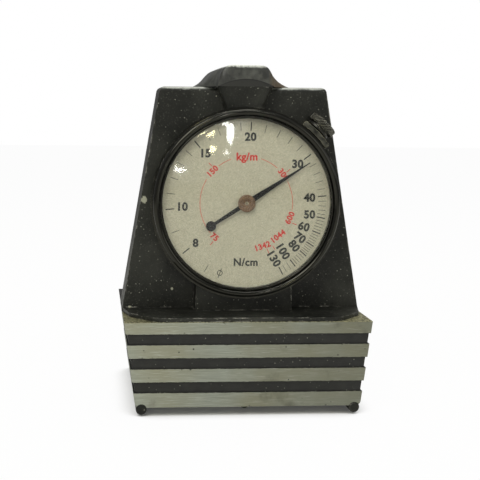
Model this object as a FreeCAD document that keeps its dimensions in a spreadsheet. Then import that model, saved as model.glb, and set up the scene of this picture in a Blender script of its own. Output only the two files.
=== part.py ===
import FreeCAD, Part
import math
import os
import re
import Sketcher

# Mesh tension meter: a dial indicator in a cast housing on a block with two rails and a sprung bar.
# +Z is up and the dial looks towards -Y. Height 0 is the underside of the measuring bar at rest.

doc = FreeCAD.newDocument("tension_meter")
dims = doc.addObject("Spreadsheet::Sheet", "dims")
V = FreeCAD.Vector

# Driving dimensions, in millimetres unless the name says otherwise.
SIZES = {
    # base block
    "base_depth": 60, "foot_overhang": 0.15, "base_lean": 3.35, "base_height": 24.85,
    "base_rise": 2.15, "bar_drop": 0.505, "top_band": 3.5, "groove_height": 3.1,
    "band_height": 3.9, "groove_depth": 0.5, "base_corner": 1.6,
    "screw_spread": 22, "screw_before": 8, "screw_behind": 10,
    # rails and measuring bar
    "rail_diameter": 3.175, "rail_inset": 1.75, "rail_end": 0.3, "bar_diameter": 3.175, "bar_length": 44, "bar_seat": 2.2,
    "carrier_width": 7, "carrier_height": 5.6, "carrier_travel_up": 0.7, "carrier_gap": 0.5,
    "pin_diameter": 4, "pin_clear": 1.5, "bushing_wall": 1.4, "bushing_length": 8,
    "spring_diameter": 7.4, "spring_wire": 0.7, "spring_turns": 6,
    "spring_clear": 0.4, "tip_clear": 0.5, "fit": 0.05,
    # housing
    "ledge_share": 0.3, "front_depth": 16, "rear_setback": 3, "housing_height": 68.4,
    "housing_foot_width": 73, "housing_top_width": 50.6, "rear_narrowing": 2, "housing_wall": 3,
    "edge_round": 1.6, "apron_height": 1.2, "apron_corner": 9.5, "apron_shoulder": 2, "apron_lap": 1,
    "apron_round": 6, "apron_setback": 0.3,
    "pad_raise": 5.9, "pad_foot_width": 29.4, "pad_top_width": 27.9, "column_width": 11.8,
    "column_top_width": 16.7, "column_flare": 6, "pad_join": 10, "screw_diameter": 3, "screw_head": 1.9,
    "head_clear": 0.2, "boss_diameter": 7, "low_screw_in": 6, "low_screw_up": 7, "high_screw_in": 5.5,
    "high_screw_down": 7.5, "ridge_screw_front": 12, "ridge_screw_back": 5.5, "stem_way_wall": 2,
    "ridge_length": 32, "ridge_height": 6.3, "ridge_foot_width": 25.2, "ridge_shoulder_width": 17.8,
    "ridge_shoulder": 2.4, "ridge_top_width": 12.7, "ridge_hole_depth": 4.8,
    # dial indicator
    "dial_height": 60.8, "bezel_reach": 11.2, "bezel_depth": 4.9, "bezel_gap": 0.3, "bezel_diameter": 57.15,
    "window_diameter": 50.2, "lip_depth": 0.7, "bezel_bore": 51.4, "knurl_depth": 0.35,
    "knurl_count": 120, "knurl_band": 2.7, "spigot_length": 2.1, "spigot_diameter": 52.6,
    "case_diameter": 54, "case_length": 20.5, "case_wall": 1.6, "glass_edge": 0.6, "glass_rise": 1.1,
    "glass_sides": 48, "rim_slope": 0.35,
    "dial_thickness": 0.3, "dial_gap": 0.2, "plate_thickness": 1.2, "plate_half": 15, "plate_setback": 1.5,
    "plate_corner": 3, "pillar_offset": 12.6, "small_screw": 1.5, "small_head": 0.6, "guide_width": 8,
    "guide_height": 4, "guide_rise": 11,
    "pillar_diameter": 3, "arbor_diameter": 1, "stem_diameter": 9.525, "stem_depth": 9,
    "spindle_diameter": 4, "spindle_setback": 6, "spindle_rise": 17, "stem_lap": 2.9,
    # gear train
    "gear_module": 0.25, "gear_teeth": 60, "pinion_teeth": 10, "rack_pitch": 0.635,
    "rack_teeth": 12, "gear_thickness": 0.6, "bridge_setback": 7.6, "take_up_angle": 27, "wheel_setback": 3,
    "rack_face": 3, "pinion_face": 2.4, "arbor_reach": 1.1, "plate_clear": 0.1, "spring_rise": 1.6,
    "hair_turns": 4, "hair_pitch": 0.7, "hair_strip": 0.15, "hair_width": 0.4, "stud_diameter": 0.8,
    "stud_reach": 4.1,
    # pointer
    "pointer_radius": 22.4, "pointer_tail": 12.55, "pointer_angle": 57.2, "pointer_sheet": 0.2,
    "pointer_waist": 0.85, "pointer_tip": 0.2, "tail_diameter": 3, "hub_diameter": 5.2, "hub_height": 1,
    # bezel clamp
    "clamp_angle": 45, "clamp_setback": 1.4, "clamp_screw": 2, "clamp_boss": 4.4, "clamp_gap": 0.35,
    "knob_diameter": 8.8, "knob_length": 2.1, "knob_radius": 31.9, "knob_teeth": 30, "collar_diameter": 5.2,
    "shoe_radius": 28.75, "shoe_thickness": 1.4, "shoe_length": 10, "shoe_depth": 8, "shoe_setback": 2.4,
}

row = 0
for size_name, size_value in SIZES.items():
    row += 1
    dims.set("A%d" % row, size_name)
    dims.set("B%d" % row, str(size_value))
    dims.setAlias("B%d" % row, size_name)
doc.recompute()

# Heights and stations that several pieces share, as formulas of the sheet.
PLACES = {
    "rail_level": "bar_drop",
    "base_top": "(housing_foot_width - 2 * foot_overhang)",
    "base_foot": "(base_top - 2 * base_lean)",
    "rail_offset": "(base_foot / 2 - rail_inset)",
    "pin_offset": "(base_depth / 4)",
    "under": "(bar_drop + base_rise)",
    "ledge": "(bar_drop + base_rise + base_height)",
    "crown": "(bar_drop + base_rise + base_height + housing_height)",
    "front_y": "(-base_depth / 2)",
    "face_y": "(base_depth * ledge_share - base_depth / 2)",
    "split_y": "(face_y + front_depth)",
    "rear_y": "(base_depth / 2 - rear_setback)",
    "pad_y": "(face_y - pad_raise)",
    "dial_z": "(bar_drop + dial_height)",
    "bezel_y": "(face_y - bezel_reach)",
    "bezel_back": "(bezel_y + bezel_depth)",
    "glass_y": "(bezel_y + lip_depth)",
    "case_y": "(bezel_back + bezel_gap)",
    "spigot_y": "(case_y - spigot_length)",
    "case_back": "(case_y + case_length)",
    "floor_y": "(case_back - case_wall)",
    "dial_back": "(spigot_y - dial_gap)",
    "dial_front": "(dial_back - dial_thickness)",
    "plate_y": "(spigot_y + plate_setback)",
    "spindle_y": "(face_y + spindle_setback)",
    "carrier_top": "(bar_seat + carrier_height)",
    "carrier_under": "bar_seat",
}


def written_out(text):
    """The formula with its places replaced by their own formulas, until only sizes are left."""
    while any(word in PLACES for word in re.findall(r"[a-z_]+", text)):
        text = re.sub(r"[a-z_]+", lambda w: PLACES.get(w.group(), w.group()), text)
    return text


def formula(text):
    """The formula with each place written out and each size pointed at the sheet."""
    text = written_out(text)
    return re.sub(r"[a-z_]+", lambda w: "dims." + w.group() if w.group() in SIZES else w.group(), text)


def size(text):
    """The formula's value, for shapes that are worked out point by point."""
    value = re.sub(r"[a-z_]+", lambda w: str(dims.get(w.group())) if w.group() in SIZES else w.group(),
                   written_out(text))
    dims.set("D1", "=" + value)
    doc.recompute([dims])
    return float(dims.get("D1"))


def bind(thing, **settings):
    """Each property of the piece follows its formula."""
    for name, text in settings.items():
        thing.setExpression(name.replace("__", "."), formula(text))


def place(thing, x="0", y="0", z="0"):
    """The piece's place follows the formulas."""
    thing.setExpression(".Placement.Base.x", formula(x))
    thing.setExpression(".Placement.Base.y", formula(y))
    thing.setExpression(".Placement.Base.z", formula(z))


def new_body(label):
    body = doc.addObject("PartDesign::Body", label)
    body.Label = label
    return body


def new_sketch(body, plane, level="0"):
    """A sketch on one of the body's origin planes, at a level along that plane's normal."""
    sketch = body.newObject("Sketcher::SketchObject", "outline")
    origin_plane = [item for item in body.Origin.OriginFeatures if item.Role == plane][0]
    sketch.AttachmentSupport = [(origin_plane, "")]
    sketch.MapMode = "FlatFace"
    sketch.setExpression(".AttachmentOffset.Base.z", formula(level))
    return sketch


def pin_point(sketch, edge, end, across, up):
    """The point's two distances from the sketch's origin follow the formulas."""
    for kind, text in (("DistanceX", across), ("DistanceY", up)):
        number = sketch.addConstraint(Sketcher.Constraint(kind, edge, end, size(text)))
        sketch.setExpression("Constraints[%d]" % number, formula(text))


def draw_outline(sketch, corners):
    """A closed outline of straight edges, whose corners are pairs of formulas."""
    points = [V(size(across), size(up), 0) for across, up in corners]
    first = sketch.GeometryCount
    count = len(points)
    for n in range(count):
        sketch.addGeometry(Part.LineSegment(points[n], points[(n + 1) % count]))
    for n in range(count):
        following = first + (n + 1) % count
        sketch.addConstraint(Sketcher.Constraint("Coincident", first + n, 2, following, 1))
    for n in range(count):
        pin_point(sketch, first + n, 1, *corners[n])
    return sketch


def draw_circle(sketch, across, up, radius):
    number = sketch.addGeometry(Part.Circle(V(size(across), size(up), 0), V(0, 0, 1), size(radius)))
    pin_point(sketch, number, 3, across, up)
    girth = sketch.addConstraint(Sketcher.Constraint("Radius", number, size(radius)))
    sketch.setExpression("Constraints[%d]" % girth, formula(radius))
    return sketch


def mirrored(half):
    """Corners given for the +X side, bottom to top, and the same again on the -X side."""
    return half + [("-(%s)" % across, up) for across, up in reversed(half)]


def box_outline(half_width, low, high):
    return mirrored([(half_width, low), (half_width, high)])


def pad(body, sketch, length, backwards=False):
    feature = body.newObject("PartDesign::Pad", "pad")
    feature.Profile = sketch
    bind(feature, Length=length)
    feature.Reversed = backwards
    body.Tip = feature
    return feature


def pocket(body, sketch, length, backwards=False):
    feature = body.newObject("PartDesign::Pocket", "pocket")
    feature.Profile = sketch
    bind(feature, Length=length)
    feature.Reversed = backwards
    body.Tip = feature
    return feature


def revolve(body, sketch):
    """The sketch turned about its upright axis."""
    feature = body.newObject("PartDesign::Revolution", "revolution")
    feature.Profile = sketch
    feature.ReferenceAxis = (sketch, ["V_Axis"])
    feature.Angle = 360
    body.Tip = feature
    return feature


def round_edges(body, choose, radius, kind="PartDesign::Fillet"):
    """A fillet or chamfer on the edges that choose picks by their middle point and edge."""
    doc.recompute()
    tip = body.Tip
    names = []
    for n, edge in enumerate(tip.Shape.Edges):
        if choose(edge.CenterOfMass, edge):
            names.append("Edge%d" % (n + 1))
    feature = body.newObject(kind, "rounding")
    feature.Base = (tip, names)
    bind(feature, **{"Radius" if kind.endswith("Fillet") else "Size": radius})
    body.Tip = feature
    return feature


ALONG = {"x": V(0, 1, 0), "y": V(-1, 0, 0), "-y": V(1, 0, 0), "z": V(0, 0, 1)}


def cylinder(name, radius, height, axis="z", x="0", y="0", z="0"):
    """A round bar from its base point, along the axis."""
    bar = doc.addObject("Part::Cylinder", name)
    bind(bar, Radius=radius, Height=height)
    if axis != "z":
        bar.Placement = FreeCAD.Placement(V(0, 0, 0), FreeCAD.Rotation(ALONG[axis], 90))
    place(bar, x, y, z)
    return bar


def combine(label, kind, *shapes):
    """One node out of several primitives: Part::Cut takes two, the rest take a list."""
    whole = doc.addObject(kind, label)
    whole.Label = label
    if kind == "Part::Cut":
        whole.Base, whole.Tool = shapes
    elif kind == "Part::Compound":
        whole.Links = list(shapes)
    else:
        whole.Shapes = list(shapes)
    return whole


def freeform(label, shape):
    """A piece worked out point by point from the sheet."""
    thing = doc.addObject("Part::Feature", label)
    thing.Label = label
    thing.Shape = shape
    return thing


def base_half_width(height):
    """Half the base's width at a height over its underside: its two sides lean outwards."""
    return "(base_foot / 2 + base_lean * (%s) / base_height)" % height


def groove_levels():
    """The lower and upper height of each painted groove over the underside, from the top down."""
    levels = []
    for n in range(3):
        upper = "(base_height - top_band - %d * (groove_height + band_height))" % n
        levels.append(("(%s - groove_height)" % upper, upper))
    return levels


def base_block():
    """The aluminium block: leaning sides, three painted grooves all round, a well for the bar below."""
    body = new_body("base_block")
    half = [(base_half_width("0"), "under")]
    for lower, upper in reversed(groove_levels()):
        for height, inset in ((lower, "0"), (lower, "groove_depth"), (upper, "groove_depth"), (upper, "0")):
            half.append(("%s - %s" % (base_half_width(height), inset), "under + %s" % height))
    half.append((base_half_width("base_height"), "ledge"))
    pad(body, draw_outline(new_sketch(body, "XZ_Plane", "front_y"), mirrored(half)), "base_depth")
    for level, backwards in (("-front_y", False), ("front_y", True)):
        strips = new_sketch(body, "XZ_Plane", level)
        for lower, upper in groove_levels():
            draw_outline(strips, box_outline("base_top", "under + " + lower, "under + " + upper))
        pocket(body, strips, "groove_depth", backwards)
    round_edges(body, lambda at, edge: at.z < size("under") + 0.1 and edge.Length > size("base_depth") - 1
                and abs(at.x) > size("rail_offset"), "base_corner")
    well = new_sketch(body, "XY_Plane", "carrier_top + carrier_travel_up + carrier_gap")
    draw_outline(well, box_outline("carrier_width / 2 + carrier_gap", "-bar_length / 2 - carrier_gap",
                                   "bar_length / 2 + carrier_gap"))
    pocket(body, well, "carrier_top + carrier_travel_up + carrier_gap")
    bores = new_sketch(body, "XY_Plane", "ledge")
    for side in ("-", ""):
        draw_circle(bores, "0", side + "pin_offset", "pin_diameter / 2 + bushing_wall")
    draw_circle(bores, "0", "spindle_y", "stem_diameter / 2 + fit")
    pocket(body, bores, "stem_depth")
    wells = new_sketch(body, "XY_Plane", "ledge - stem_depth")
    for side in ("-", ""):
        draw_circle(wells, "0", side + "pin_offset", "spring_diameter / 2 + spring_clear")
    pocket(body, wells, "base_height")
    tip_well = new_sketch(body, "XY_Plane", "ledge - stem_depth")
    draw_circle(tip_well, "0", "spindle_y", "spindle_diameter / 2 + tip_clear")
    pocket(body, tip_well, "base_height")
    seats = new_sketch(body, "XZ_Plane", "base_depth / 2")
    for side in ("-", ""):
        draw_circle(seats, side + "rail_offset", "rail_level + rail_diameter / 2", "rail_diameter / 2")
    pocket(body, seats, "base_depth")
    holes = new_sketch(body, "XY_Plane", "ledge")
    counterbores = new_sketch(body, "XY_Plane", "under + screw_diameter")
    for x, y in base_screw_places():
        draw_circle(holes, x, y, "screw_diameter / 2 + fit")
        draw_circle(counterbores, x, y, "screw_diameter + head_clear")
    pocket(body, holes, "base_height")
    pocket(body, counterbores, "screw_diameter")


def base_screw_places():
    """Four screws come up through the base: two into each casting's floor."""
    stations = ("(split_y - screw_before)", "(split_y + screw_behind)")
    return [(side + "screw_spread", station) for side in ("-", "") for station in stations]


def prism(name, sides, radius, height, axis, x, y, z):
    """A bar with flat sides from its base point, along the axis."""
    bar = doc.addObject("Part::Prism", name)
    bar.Polygon = sides
    bind(bar, Circumradius=radius, Height=height)
    if axis != "z":
        bar.Placement = FreeCAD.Placement(V(0, 0, 0), FreeCAD.Rotation(ALONG[axis], 90))
    place(bar, x, y, z)
    return bar


def hexagon_screw(name, x, y, z, axis, reach):
    """A screw from its head's outer face inwards: a hexagon head and a plain shank of twelve flats."""
    whole = doc.addObject("Part::Fuse", name)
    whole.Base = prism(name + "_head", 6, "screw_diameter", "screw_head", axis, x, y, z)
    whole.Tool = prism(name + "_shank", 12, "screw_diameter / 2", reach, axis, x, y, z)
    return whole


def base_screws():
    screws = []
    for n, (x, y) in enumerate(base_screw_places()):
        screws.append(hexagon_screw("base_screw_%d" % n, x, y, "under + head_clear", "z",
                                   "ledge - under + housing_wall - 2 * head_clear"))
    combine("base_screws", "Part::Compound", *screws)


def rails():
    """Two ground steel rods, pressed half into the base's underside and chamfered at both ends."""
    for label, side in (("support_rail_left", "-"), ("support_rail_right", "")):
        rod = cylinder(label + "_rod", "rail_diameter / 2", "base_depth", "y", side + "rail_offset", "front_y",
                       "rail_level + rail_diameter / 2")
        doc.recompute()
        ends = doc.addObject("Part::Chamfer", label)
        ends.Base = rod
        ends.Edges = [(n + 1, size("rail_end"), size("rail_end")) for n, edge in enumerate(rod.Shape.Edges) if edge.Closed
                      and edge.Length > 1 and len(edge.Vertexes) == 1]
        ends.Label = label


def bar_group():
    """The sprung middle: a ground bar under a carrier, with two guide pins that slide in bushings."""
    rod = cylinder("bar_rod", "bar_diameter / 2", "bar_length", "y", "0", "-bar_length / 2", "bar_diameter / 2")
    rod.Label = "measuring_bar"
    body = new_body("bar_carrier")
    block = new_sketch(body, "XY_Plane", "carrier_under")
    draw_outline(block, box_outline("carrier_width / 2", "-bar_length / 2", "bar_length / 2"))
    pad(body, block, "carrier_height")
    seat = new_sketch(body, "XZ_Plane", "bar_length / 2")
    draw_circle(seat, "0", "bar_diameter / 2", "bar_diameter / 2")
    pocket(body, seat, "bar_length")
    round_edges(body, lambda at, edge: abs(abs(at.x) - size("carrier_width") / 2) < 0.1 and abs(at.y) > size("pin_offset"),
                "bushing_wall", "PartDesign::Chamfer")
    pins = []
    bushings = []
    for n, side in enumerate(("-", "")):
        station = side + "pin_offset"
        pins.append(cylinder("guide_pin_%d" % n, "pin_diameter / 2 - fit", "ledge - carrier_top - pin_clear", "z",
                             "0",
                             station, "carrier_top"))
        sleeve = cylinder("sleeve_%d" % n, "pin_diameter / 2 + bushing_wall", "bushing_length", "z", "0",
                          station, "ledge - stem_depth")
        bore = cylinder("sleeve_bore_%d" % n, "pin_diameter / 2", "bushing_length", "z", "0", station,
                        "ledge - stem_depth")
        bush = doc.addObject("Part::Cut", "bushing_%d" % n)
        bush.Base = sleeve
        bush.Tool = bore
        bushings.append(bush)
    combine("guide_pins", "Part::Compound", *pins)
    combine("guide_bushings", "Part::Compound", *bushings)


def load_springs():
    """Two coil springs between the carrier and the bushings: a four-sided wire swept round a helix."""
    turns, steps, sides = int(size("spring_turns")), 10, 4
    wire = size("spring_wire") / 2
    radius = size("spring_diameter") / 2 - wire
    low = size("carrier_top") + wire
    tall = size("ledge - stem_depth - carrier_top") - 2 * wire
    coils = []
    for side in (-1, 1):
        rings = []
        for n in range(turns * steps + 1):
            turn = 2 * math.pi * n / steps
            ring = []
            for k in range(sides):
                swing = 2 * math.pi * k / sides
                reach = radius + wire * math.cos(swing)
                rise = low + tall * n / (turns * steps) + wire * math.sin(swing)
                ring.append(V(reach * math.cos(turn), side * size("pin_offset") + reach * math.sin(turn), rise))
            rings.append(ring)
        faces = [Part.Face(Part.makePolygon(ring + ring[:1])) for ring in (rings[0], rings[-1])]
        for near, far in zip(rings, rings[1:]):
            for k in range(sides):
                following = (k + 1) % sides
                for corners in ((near[k], near[following], far[following]), (near[k], far[following], far[k])):
                    faces.append(Part.Face(Part.makePolygon(list(corners) + [corners[0]])))
        coils.append(Part.Solid(Part.Shell(faces)))
    freeform("load_springs", Part.makeCompound(coils))


def housing_outline(inset="0", narrowing="0"):
    """The castings' front view: wide on the base, narrow at the crown, less an inset wall."""
    return mirrored([("housing_foot_width / 2 - %s - %s" % (inset, narrowing), "ledge + %s" % inset),
                     ("housing_top_width / 2 - %s - %s" % (inset, narrowing), "crown - %s" % inset)])


def housing_screw_places():
    """Two screws near the foot and two near the crown, outside the indicator's bore."""
    low = ("(housing_foot_width / 2 - low_screw_in)", "(ledge + low_screw_up)")
    high = ("(housing_top_width / 2 - high_screw_in)", "(crown - high_screw_down)")
    return [(side + x, z) for side in ("-", "") for x, z in (low, high)]


def ridge_screw_places():
    return [("0", "(pad_y + ridge_screw_front)"), ("0", "(split_y + ridge_screw_back)")]


def floor_holes(body):
    """Holes in the front casting's floor and roof for the screws that reach it."""
    holes = new_sketch(body, "XY_Plane", "ledge + housing_wall")
    for x, y in base_screw_places():
        if size(y) < size("split_y"):
            draw_circle(holes, x, y, "screw_diameter / 2 + fit")
    pocket(body, holes, "housing_wall")
    caps = new_sketch(body, "XY_Plane", "crown")
    for x, y in ridge_screw_places():
        if size(y) < size("split_y"):
            draw_circle(caps, x, y, "screw_diameter / 2 + fit")
    pocket(body, caps, "housing_wall")


def front_housing():
    """The front casting: an open shell with the dial's pad and column, the apron, bore and bosses."""
    body = new_body("front_housing")
    pad(body, draw_outline(new_sketch(body, "XZ_Plane", "-split_y"), housing_outline()), "front_depth")
    round_edges(body, lambda at, edge: at.z > size("crown") - 0.1 and abs(at.y - size("split_y")) > 1,
                "edge_round")
    raised = new_sketch(body, "XZ_Plane", "-face_y")
    draw_outline(raised, mirrored([("pad_foot_width / 2", "ledge"), ("pad_top_width / 2", "dial_z - pad_join")]))
    pad(body, raised, "pad_raise")
    column = new_sketch(body, "XZ_Plane", "-face_y - housing_wall / 2")
    draw_outline(column, mirrored([("column_width / 2", "dial_z + pad_join"),
                                   ("column_width / 2", "crown - column_flare"),
                                   ("column_top_width / 2", "crown")]))
    pad(body, column, "pad_raise + housing_wall / 2", False)
    round_edges(body, lambda at, edge: at.z > size("dial_z") and abs(at.y - size("pad_y")) < 0.1
                and abs(at.x) > size("column_width / 2 - 1"), "pad_raise / 2")
    apron = new_sketch(body, "XY_Plane", "ledge")
    half = [("housing_foot_width / 2 - apron_corner", "front_y + apron_setback"),
            ("housing_foot_width / 2 - apron_shoulder", "(front_y + face_y) / 2"),
            ("housing_foot_width / 2", "face_y + apron_lap")]
    draw_outline(apron, mirrored(half))
    pad(body, apron, "apron_height")
    round_edges(body, lambda at, edge: at.y < size("pad_y") and abs(edge.Length - size("apron_height")) < 0.01,
                "apron_round")
    cavity = new_sketch(body, "XZ_Plane", "-split_y")
    draw_outline(cavity, housing_outline("housing_wall"))
    pocket(body, cavity, "front_depth - housing_wall", True)
    bosses = new_sketch(body, "XZ_Plane", "-split_y")
    for x, z in housing_screw_places():
        draw_circle(bosses, x, z, "boss_diameter / 2")
    pad(body, bosses, "front_depth - housing_wall / 2")
    bore = new_sketch(body, "XZ_Plane", "-pad_y")
    draw_circle(bore, "0", "dial_z", "case_diameter / 2 + fit")
    pocket(body, bore, "front_depth + pad_raise")
    stem_way = new_sketch(body, "XY_Plane", "dial_z - case_diameter / 2 + stem_way_wall")
    draw_circle(stem_way, "0", "spindle_y", "stem_diameter / 2 + fit")
    pocket(body, stem_way, "dial_z")
    threads = new_sketch(body, "XZ_Plane", "-split_y")
    for x, z in housing_screw_places():
        draw_circle(threads, x, z, "screw_diameter / 2")
    pocket(body, threads, "front_depth - housing_wall", True)
    floor_holes(body)


def drafted_block(inset, depth):
    """The rear casting's form, less an inset, as flat faces: its sides draw in towards the back."""
    draft = size("rear_narrowing") / size("rear_y - split_y")
    low, high = size("ledge") + inset, size("crown") - inset
    rings = []
    for y in (size("split_y"), size("split_y") + depth):
        narrow = draft * (y - size("split_y")) + inset
        foot, top = size("housing_foot_width / 2") - narrow, size("housing_top_width / 2") - narrow
        rings.append([V(foot, y, low), V(top, y, high), V(-top, y, high), V(-foot, y, low)])
    walls = rings[:]
    for n in range(4):
        walls.append([rings[0][n], rings[0][(n + 1) % 4], rings[1][(n + 1) % 4], rings[1][n]])
    faces = [Part.Face(Part.makePolygon(wall + wall[:1])) for wall in walls]
    solid = Part.Solid(Part.Shell(faces))
    return outward_facing(solid)


def rear_housing():
    """The rear casting: a shell drafted towards its back wall, with long screw bosses inside."""
    depth, wall, screw = size("rear_y - split_y"), size("housing_wall"), size("screw_diameter")
    near, far, crown = size("split_y"), size("rear_y"), size("crown")
    outer = drafted_block(0, depth)
    soft = [edge for edge in outer.Edges if abs(edge.CenterOfMass.y - far) < 0.1
            or (edge.CenterOfMass.z > crown - 0.1 and edge.CenterOfMass.y > near + 0.1)]
    outer = outer.makeFillet(size("edge_round"), soft)
    shell = outer.cut(drafted_block(wall, depth - wall))
    back = V(0, 1, 0)
    for x, z in housing_screw_places():
        at = V(size(x), near, size(z))
        shell = shell.fuse(Part.makeCylinder(size("boss_diameter / 2"), depth - wall / 2, at, back))
    for x, z in housing_screw_places():
        at = V(size(x), near, size(z))
        head = V(size(x), far - screw, size(z))
        shell = shell.cut(Part.makeCylinder(screw / 2 + size("fit"), depth, at, back))
        shell = shell.cut(Part.makeCylinder(screw + size("head_clear"), depth, head, back))
    for places, low in ((base_screw_places(), size("ledge")), (ridge_screw_places(), crown - wall)):
        for x, y in places:
            if size(y) > near:
                hole = Part.makeCylinder(screw / 2 + size("fit"), wall, V(size(x), size(y), low))
                shell = shell.cut(hole)
    freeform("rear_housing", shell)


def housing_screws():
    screws = []
    for n, (x, z) in enumerate(housing_screw_places()):
        screws.append(hexagon_screw("housing_screw_%d" % n, x, "rear_y - head_clear", z, "-y",
                                   "rear_y - split_y + front_depth / 2"))
    combine("housing_screws", "Part::Compound", *screws)


def top_ridge():
    """The loaf-shaped ridge over both castings, with a machined flat on top."""
    body = new_body("top_ridge")
    nose = new_sketch(body, "XZ_Plane", "-face_y")
    draw_outline(nose, mirrored([("column_top_width / 2", "crown"),
                                 ("column_top_width / 2", "crown + ridge_shoulder"),
                                 ("ridge_top_width / 2", "crown + ridge_height")]))
    loaf = new_sketch(body, "XZ_Plane", "-pad_y - ridge_length")
    draw_outline(loaf, mirrored([("ridge_foot_width / 2", "crown"),
                                 ("ridge_shoulder_width / 2", "crown + ridge_shoulder"),
                                 ("ridge_top_width / 2", "crown + ridge_height")]))
    pad(body, loaf, "ridge_length - pad_raise")
    pad(body, nose, "pad_raise")
    ends = (size("pad_y"), size("pad_y + ridge_length"))
    round_edges(body, lambda at, edge: min(abs(at.y - ends[0]), abs(at.y - ends[1])) < 0.1
                and at.z > size("crown") + 0.5, "edge_round / 2")
    holes = new_sketch(body, "XY_Plane", "crown")
    for x, y in ridge_screw_places():
        draw_circle(holes, x, y, "screw_diameter / 2")
    pocket(body, holes, "ridge_hole_depth", True)


def ridge_screws():
    screws = []
    for n, (x, y) in enumerate(ridge_screw_places()):
        screws.append(hexagon_screw("ridge_screw_%d" % n, x, y, "crown - housing_wall - screw_head", "z",
                                   "housing_wall + screw_head + screw_diameter"))
    combine("ridge_screws", "Part::Compound", *screws)


def around(radius, station, degrees):
    """A point at a clock angle from the top about the dial's axis."""
    turn = math.radians(degrees)
    return V(radius * math.sin(turn), station, size("dial_z") + radius * math.cos(turn))


def indicator_case():
    """The indicator's deep cup, with a spigot in front that the bezel turns on."""
    body = new_body("indicator_case")
    inner = "case_diameter / 2 - case_wall"
    draw = new_sketch(body, "XY_Plane")
    draw_outline(draw, [("0", "floor_y"), (inner, "floor_y"), (inner, "spigot_y"),
                        ("spigot_diameter / 2", "spigot_y"), ("spigot_diameter / 2", "case_y"),
                        ("case_diameter / 2", "case_y"), ("case_diameter / 2", "case_back"), ("0", "case_back")])
    revolve(body, draw)
    way = new_sketch(body, "XY_Plane")
    draw_circle(way, "0", "spindle_y", "stem_diameter / 2")
    pocket(body, way, "case_diameter / 2")
    place(body, "0", "0", "dial_z")


def tube(label, outer, inner, length, axis, x, y, z):
    wall = cylinder(label + "_wall", outer, length, axis, x, y, z)
    bore = cylinder(label + "_bore", inner, length, axis, x, y, z)
    return combine(label, "Part::Cut", wall, bore)


def stem():
    """The plain stem between the indicator and the base, bored for the spindle."""
    tube("stem", "stem_diameter / 2", "spindle_diameter / 2 + fit",
         "dial_z - case_diameter / 2 + stem_lap - ledge + stem_depth", "z", "0", "spindle_y", "ledge - stem_depth")


def turned(profile):
    """A solid of revolution about the dial's axis from pairs of radius and station."""
    wire = Part.makePolygon([V(r, y, 0) for r, y in profile + profile[:1]])
    solid = Part.Face(wire).revolve(V(0, 0, 0), V(0, 1, 0), 360)
    solid.translate(V(0, 0, size("dial_z")))
    return solid


def star(tip, root, teeth, tip_share, root_share, phase=0):
    """A toothed outline in the dial's plane: tooth tips and roots take shares of the pitch."""
    points = []
    pitch = 2 * math.pi / teeth
    for n in range(teeth):
        middle = math.radians(phase) + n * pitch
        for radius, share in ((root, -root_share), (tip, -tip_share), (tip, tip_share), (root, root_share)):
            turn = middle + pitch * share / 2
            points.append(V(radius * math.sin(turn), 0, radius * math.cos(turn)))
    return Part.makePolygon(points + points[:1])


def toothed(outline, bore, thickness):
    """The outline with a round bore, thickened along +Y."""
    hole = Part.Wire([Part.makeCircle(bore, V(0, 0, 0), V(0, 1, 0))])
    return Part.Face([outline, hole], "Part::FaceMakerBullseye").extrude(V(0, thickness, 0))


def flat_sided(profile, sides):
    """A ring about the dial's axis whose round faces are made of flats, from pairs of radius and station."""
    rings = []
    for radius, y in profile:
        turns = [2 * math.pi * n / sides for n in range(sides)]
        rings.append([V(radius * math.cos(turn), y, size("dial_z") + radius * math.sin(turn)) for turn in turns])
    faces = []
    for near, far in zip(rings, rings[1:] + rings[:1]):
        for n in range(sides):
            corners = [near[n], near[(n + 1) % sides], far[(n + 1) % sides], far[n]]
            faces.append(Part.Face(Part.makePolygon(corners + corners[:1])))
    return outward_facing(Part.Solid(Part.Shell(faces)))


def outward_facing(solid):
    """The solid itself, turned inside out where its faces look inwards."""
    if solid.Volume < 0:
        solid.reverse()
    return solid


def bezel_ring():
    """The bezel: a rounded rim over the glass, and behind it a flange with a fine coin edge."""
    outer = size("bezel_diameter / 2")
    front, back = size("bezel_y"), size("bezel_back")
    flange, slope = back - size("knurl_band"), size("rim_slope")
    lip, seat, skirt = size("window_diameter / 2"), size("bezel_bore / 2"), size("spigot_diameter / 2 + fit")
    neck = outer - size("knurl_depth")
    rim = [(lip, front + slope), (lip + slope, front), (neck - 3 * slope, front), (neck, front + 3 * slope),
           (neck, flange), (skirt, flange), (skirt, size("dial_back")), (seat, size("dial_back")),
           (seat, size("glass_y")), (lip, size("glass_y"))]
    count = int(size("knurl_count"))
    ridges = []
    for n in range(2 * count):
        turn = math.pi * n / count
        reach = outer if n % 2 else neck
        ridges.append(V(reach * math.sin(turn), 0, reach * math.cos(turn)))
    edge = toothed(Part.makePolygon(ridges + ridges[:1]), skirt, size("knurl_band"))
    edge.translate(V(0, flange, size("dial_z")))
    freeform("bezel_ring", turned(rim).fuse(edge).removeSplitter())


def crystal():
    """The domed window, its edge held under the bezel's lip; the dome is a fan of shallow cones."""
    edge, glass = size("bezel_bore / 2"), size("glass_edge")
    lip, level, rise = size("window_diameter / 2 - 2 * fit"), size("glass_y"), size("glass_rise")
    dome = [(lip * share, level - rise * (1 - share * share)) for share in (0.01, 0.6, 1)]
    profile = dome + [(edge, level), (edge, level + glass)] + [(r, y + glass) for r, y in reversed(dome)]
    freeform("crystal", flat_sided(profile, int(size("glass_sides"))))


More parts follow.
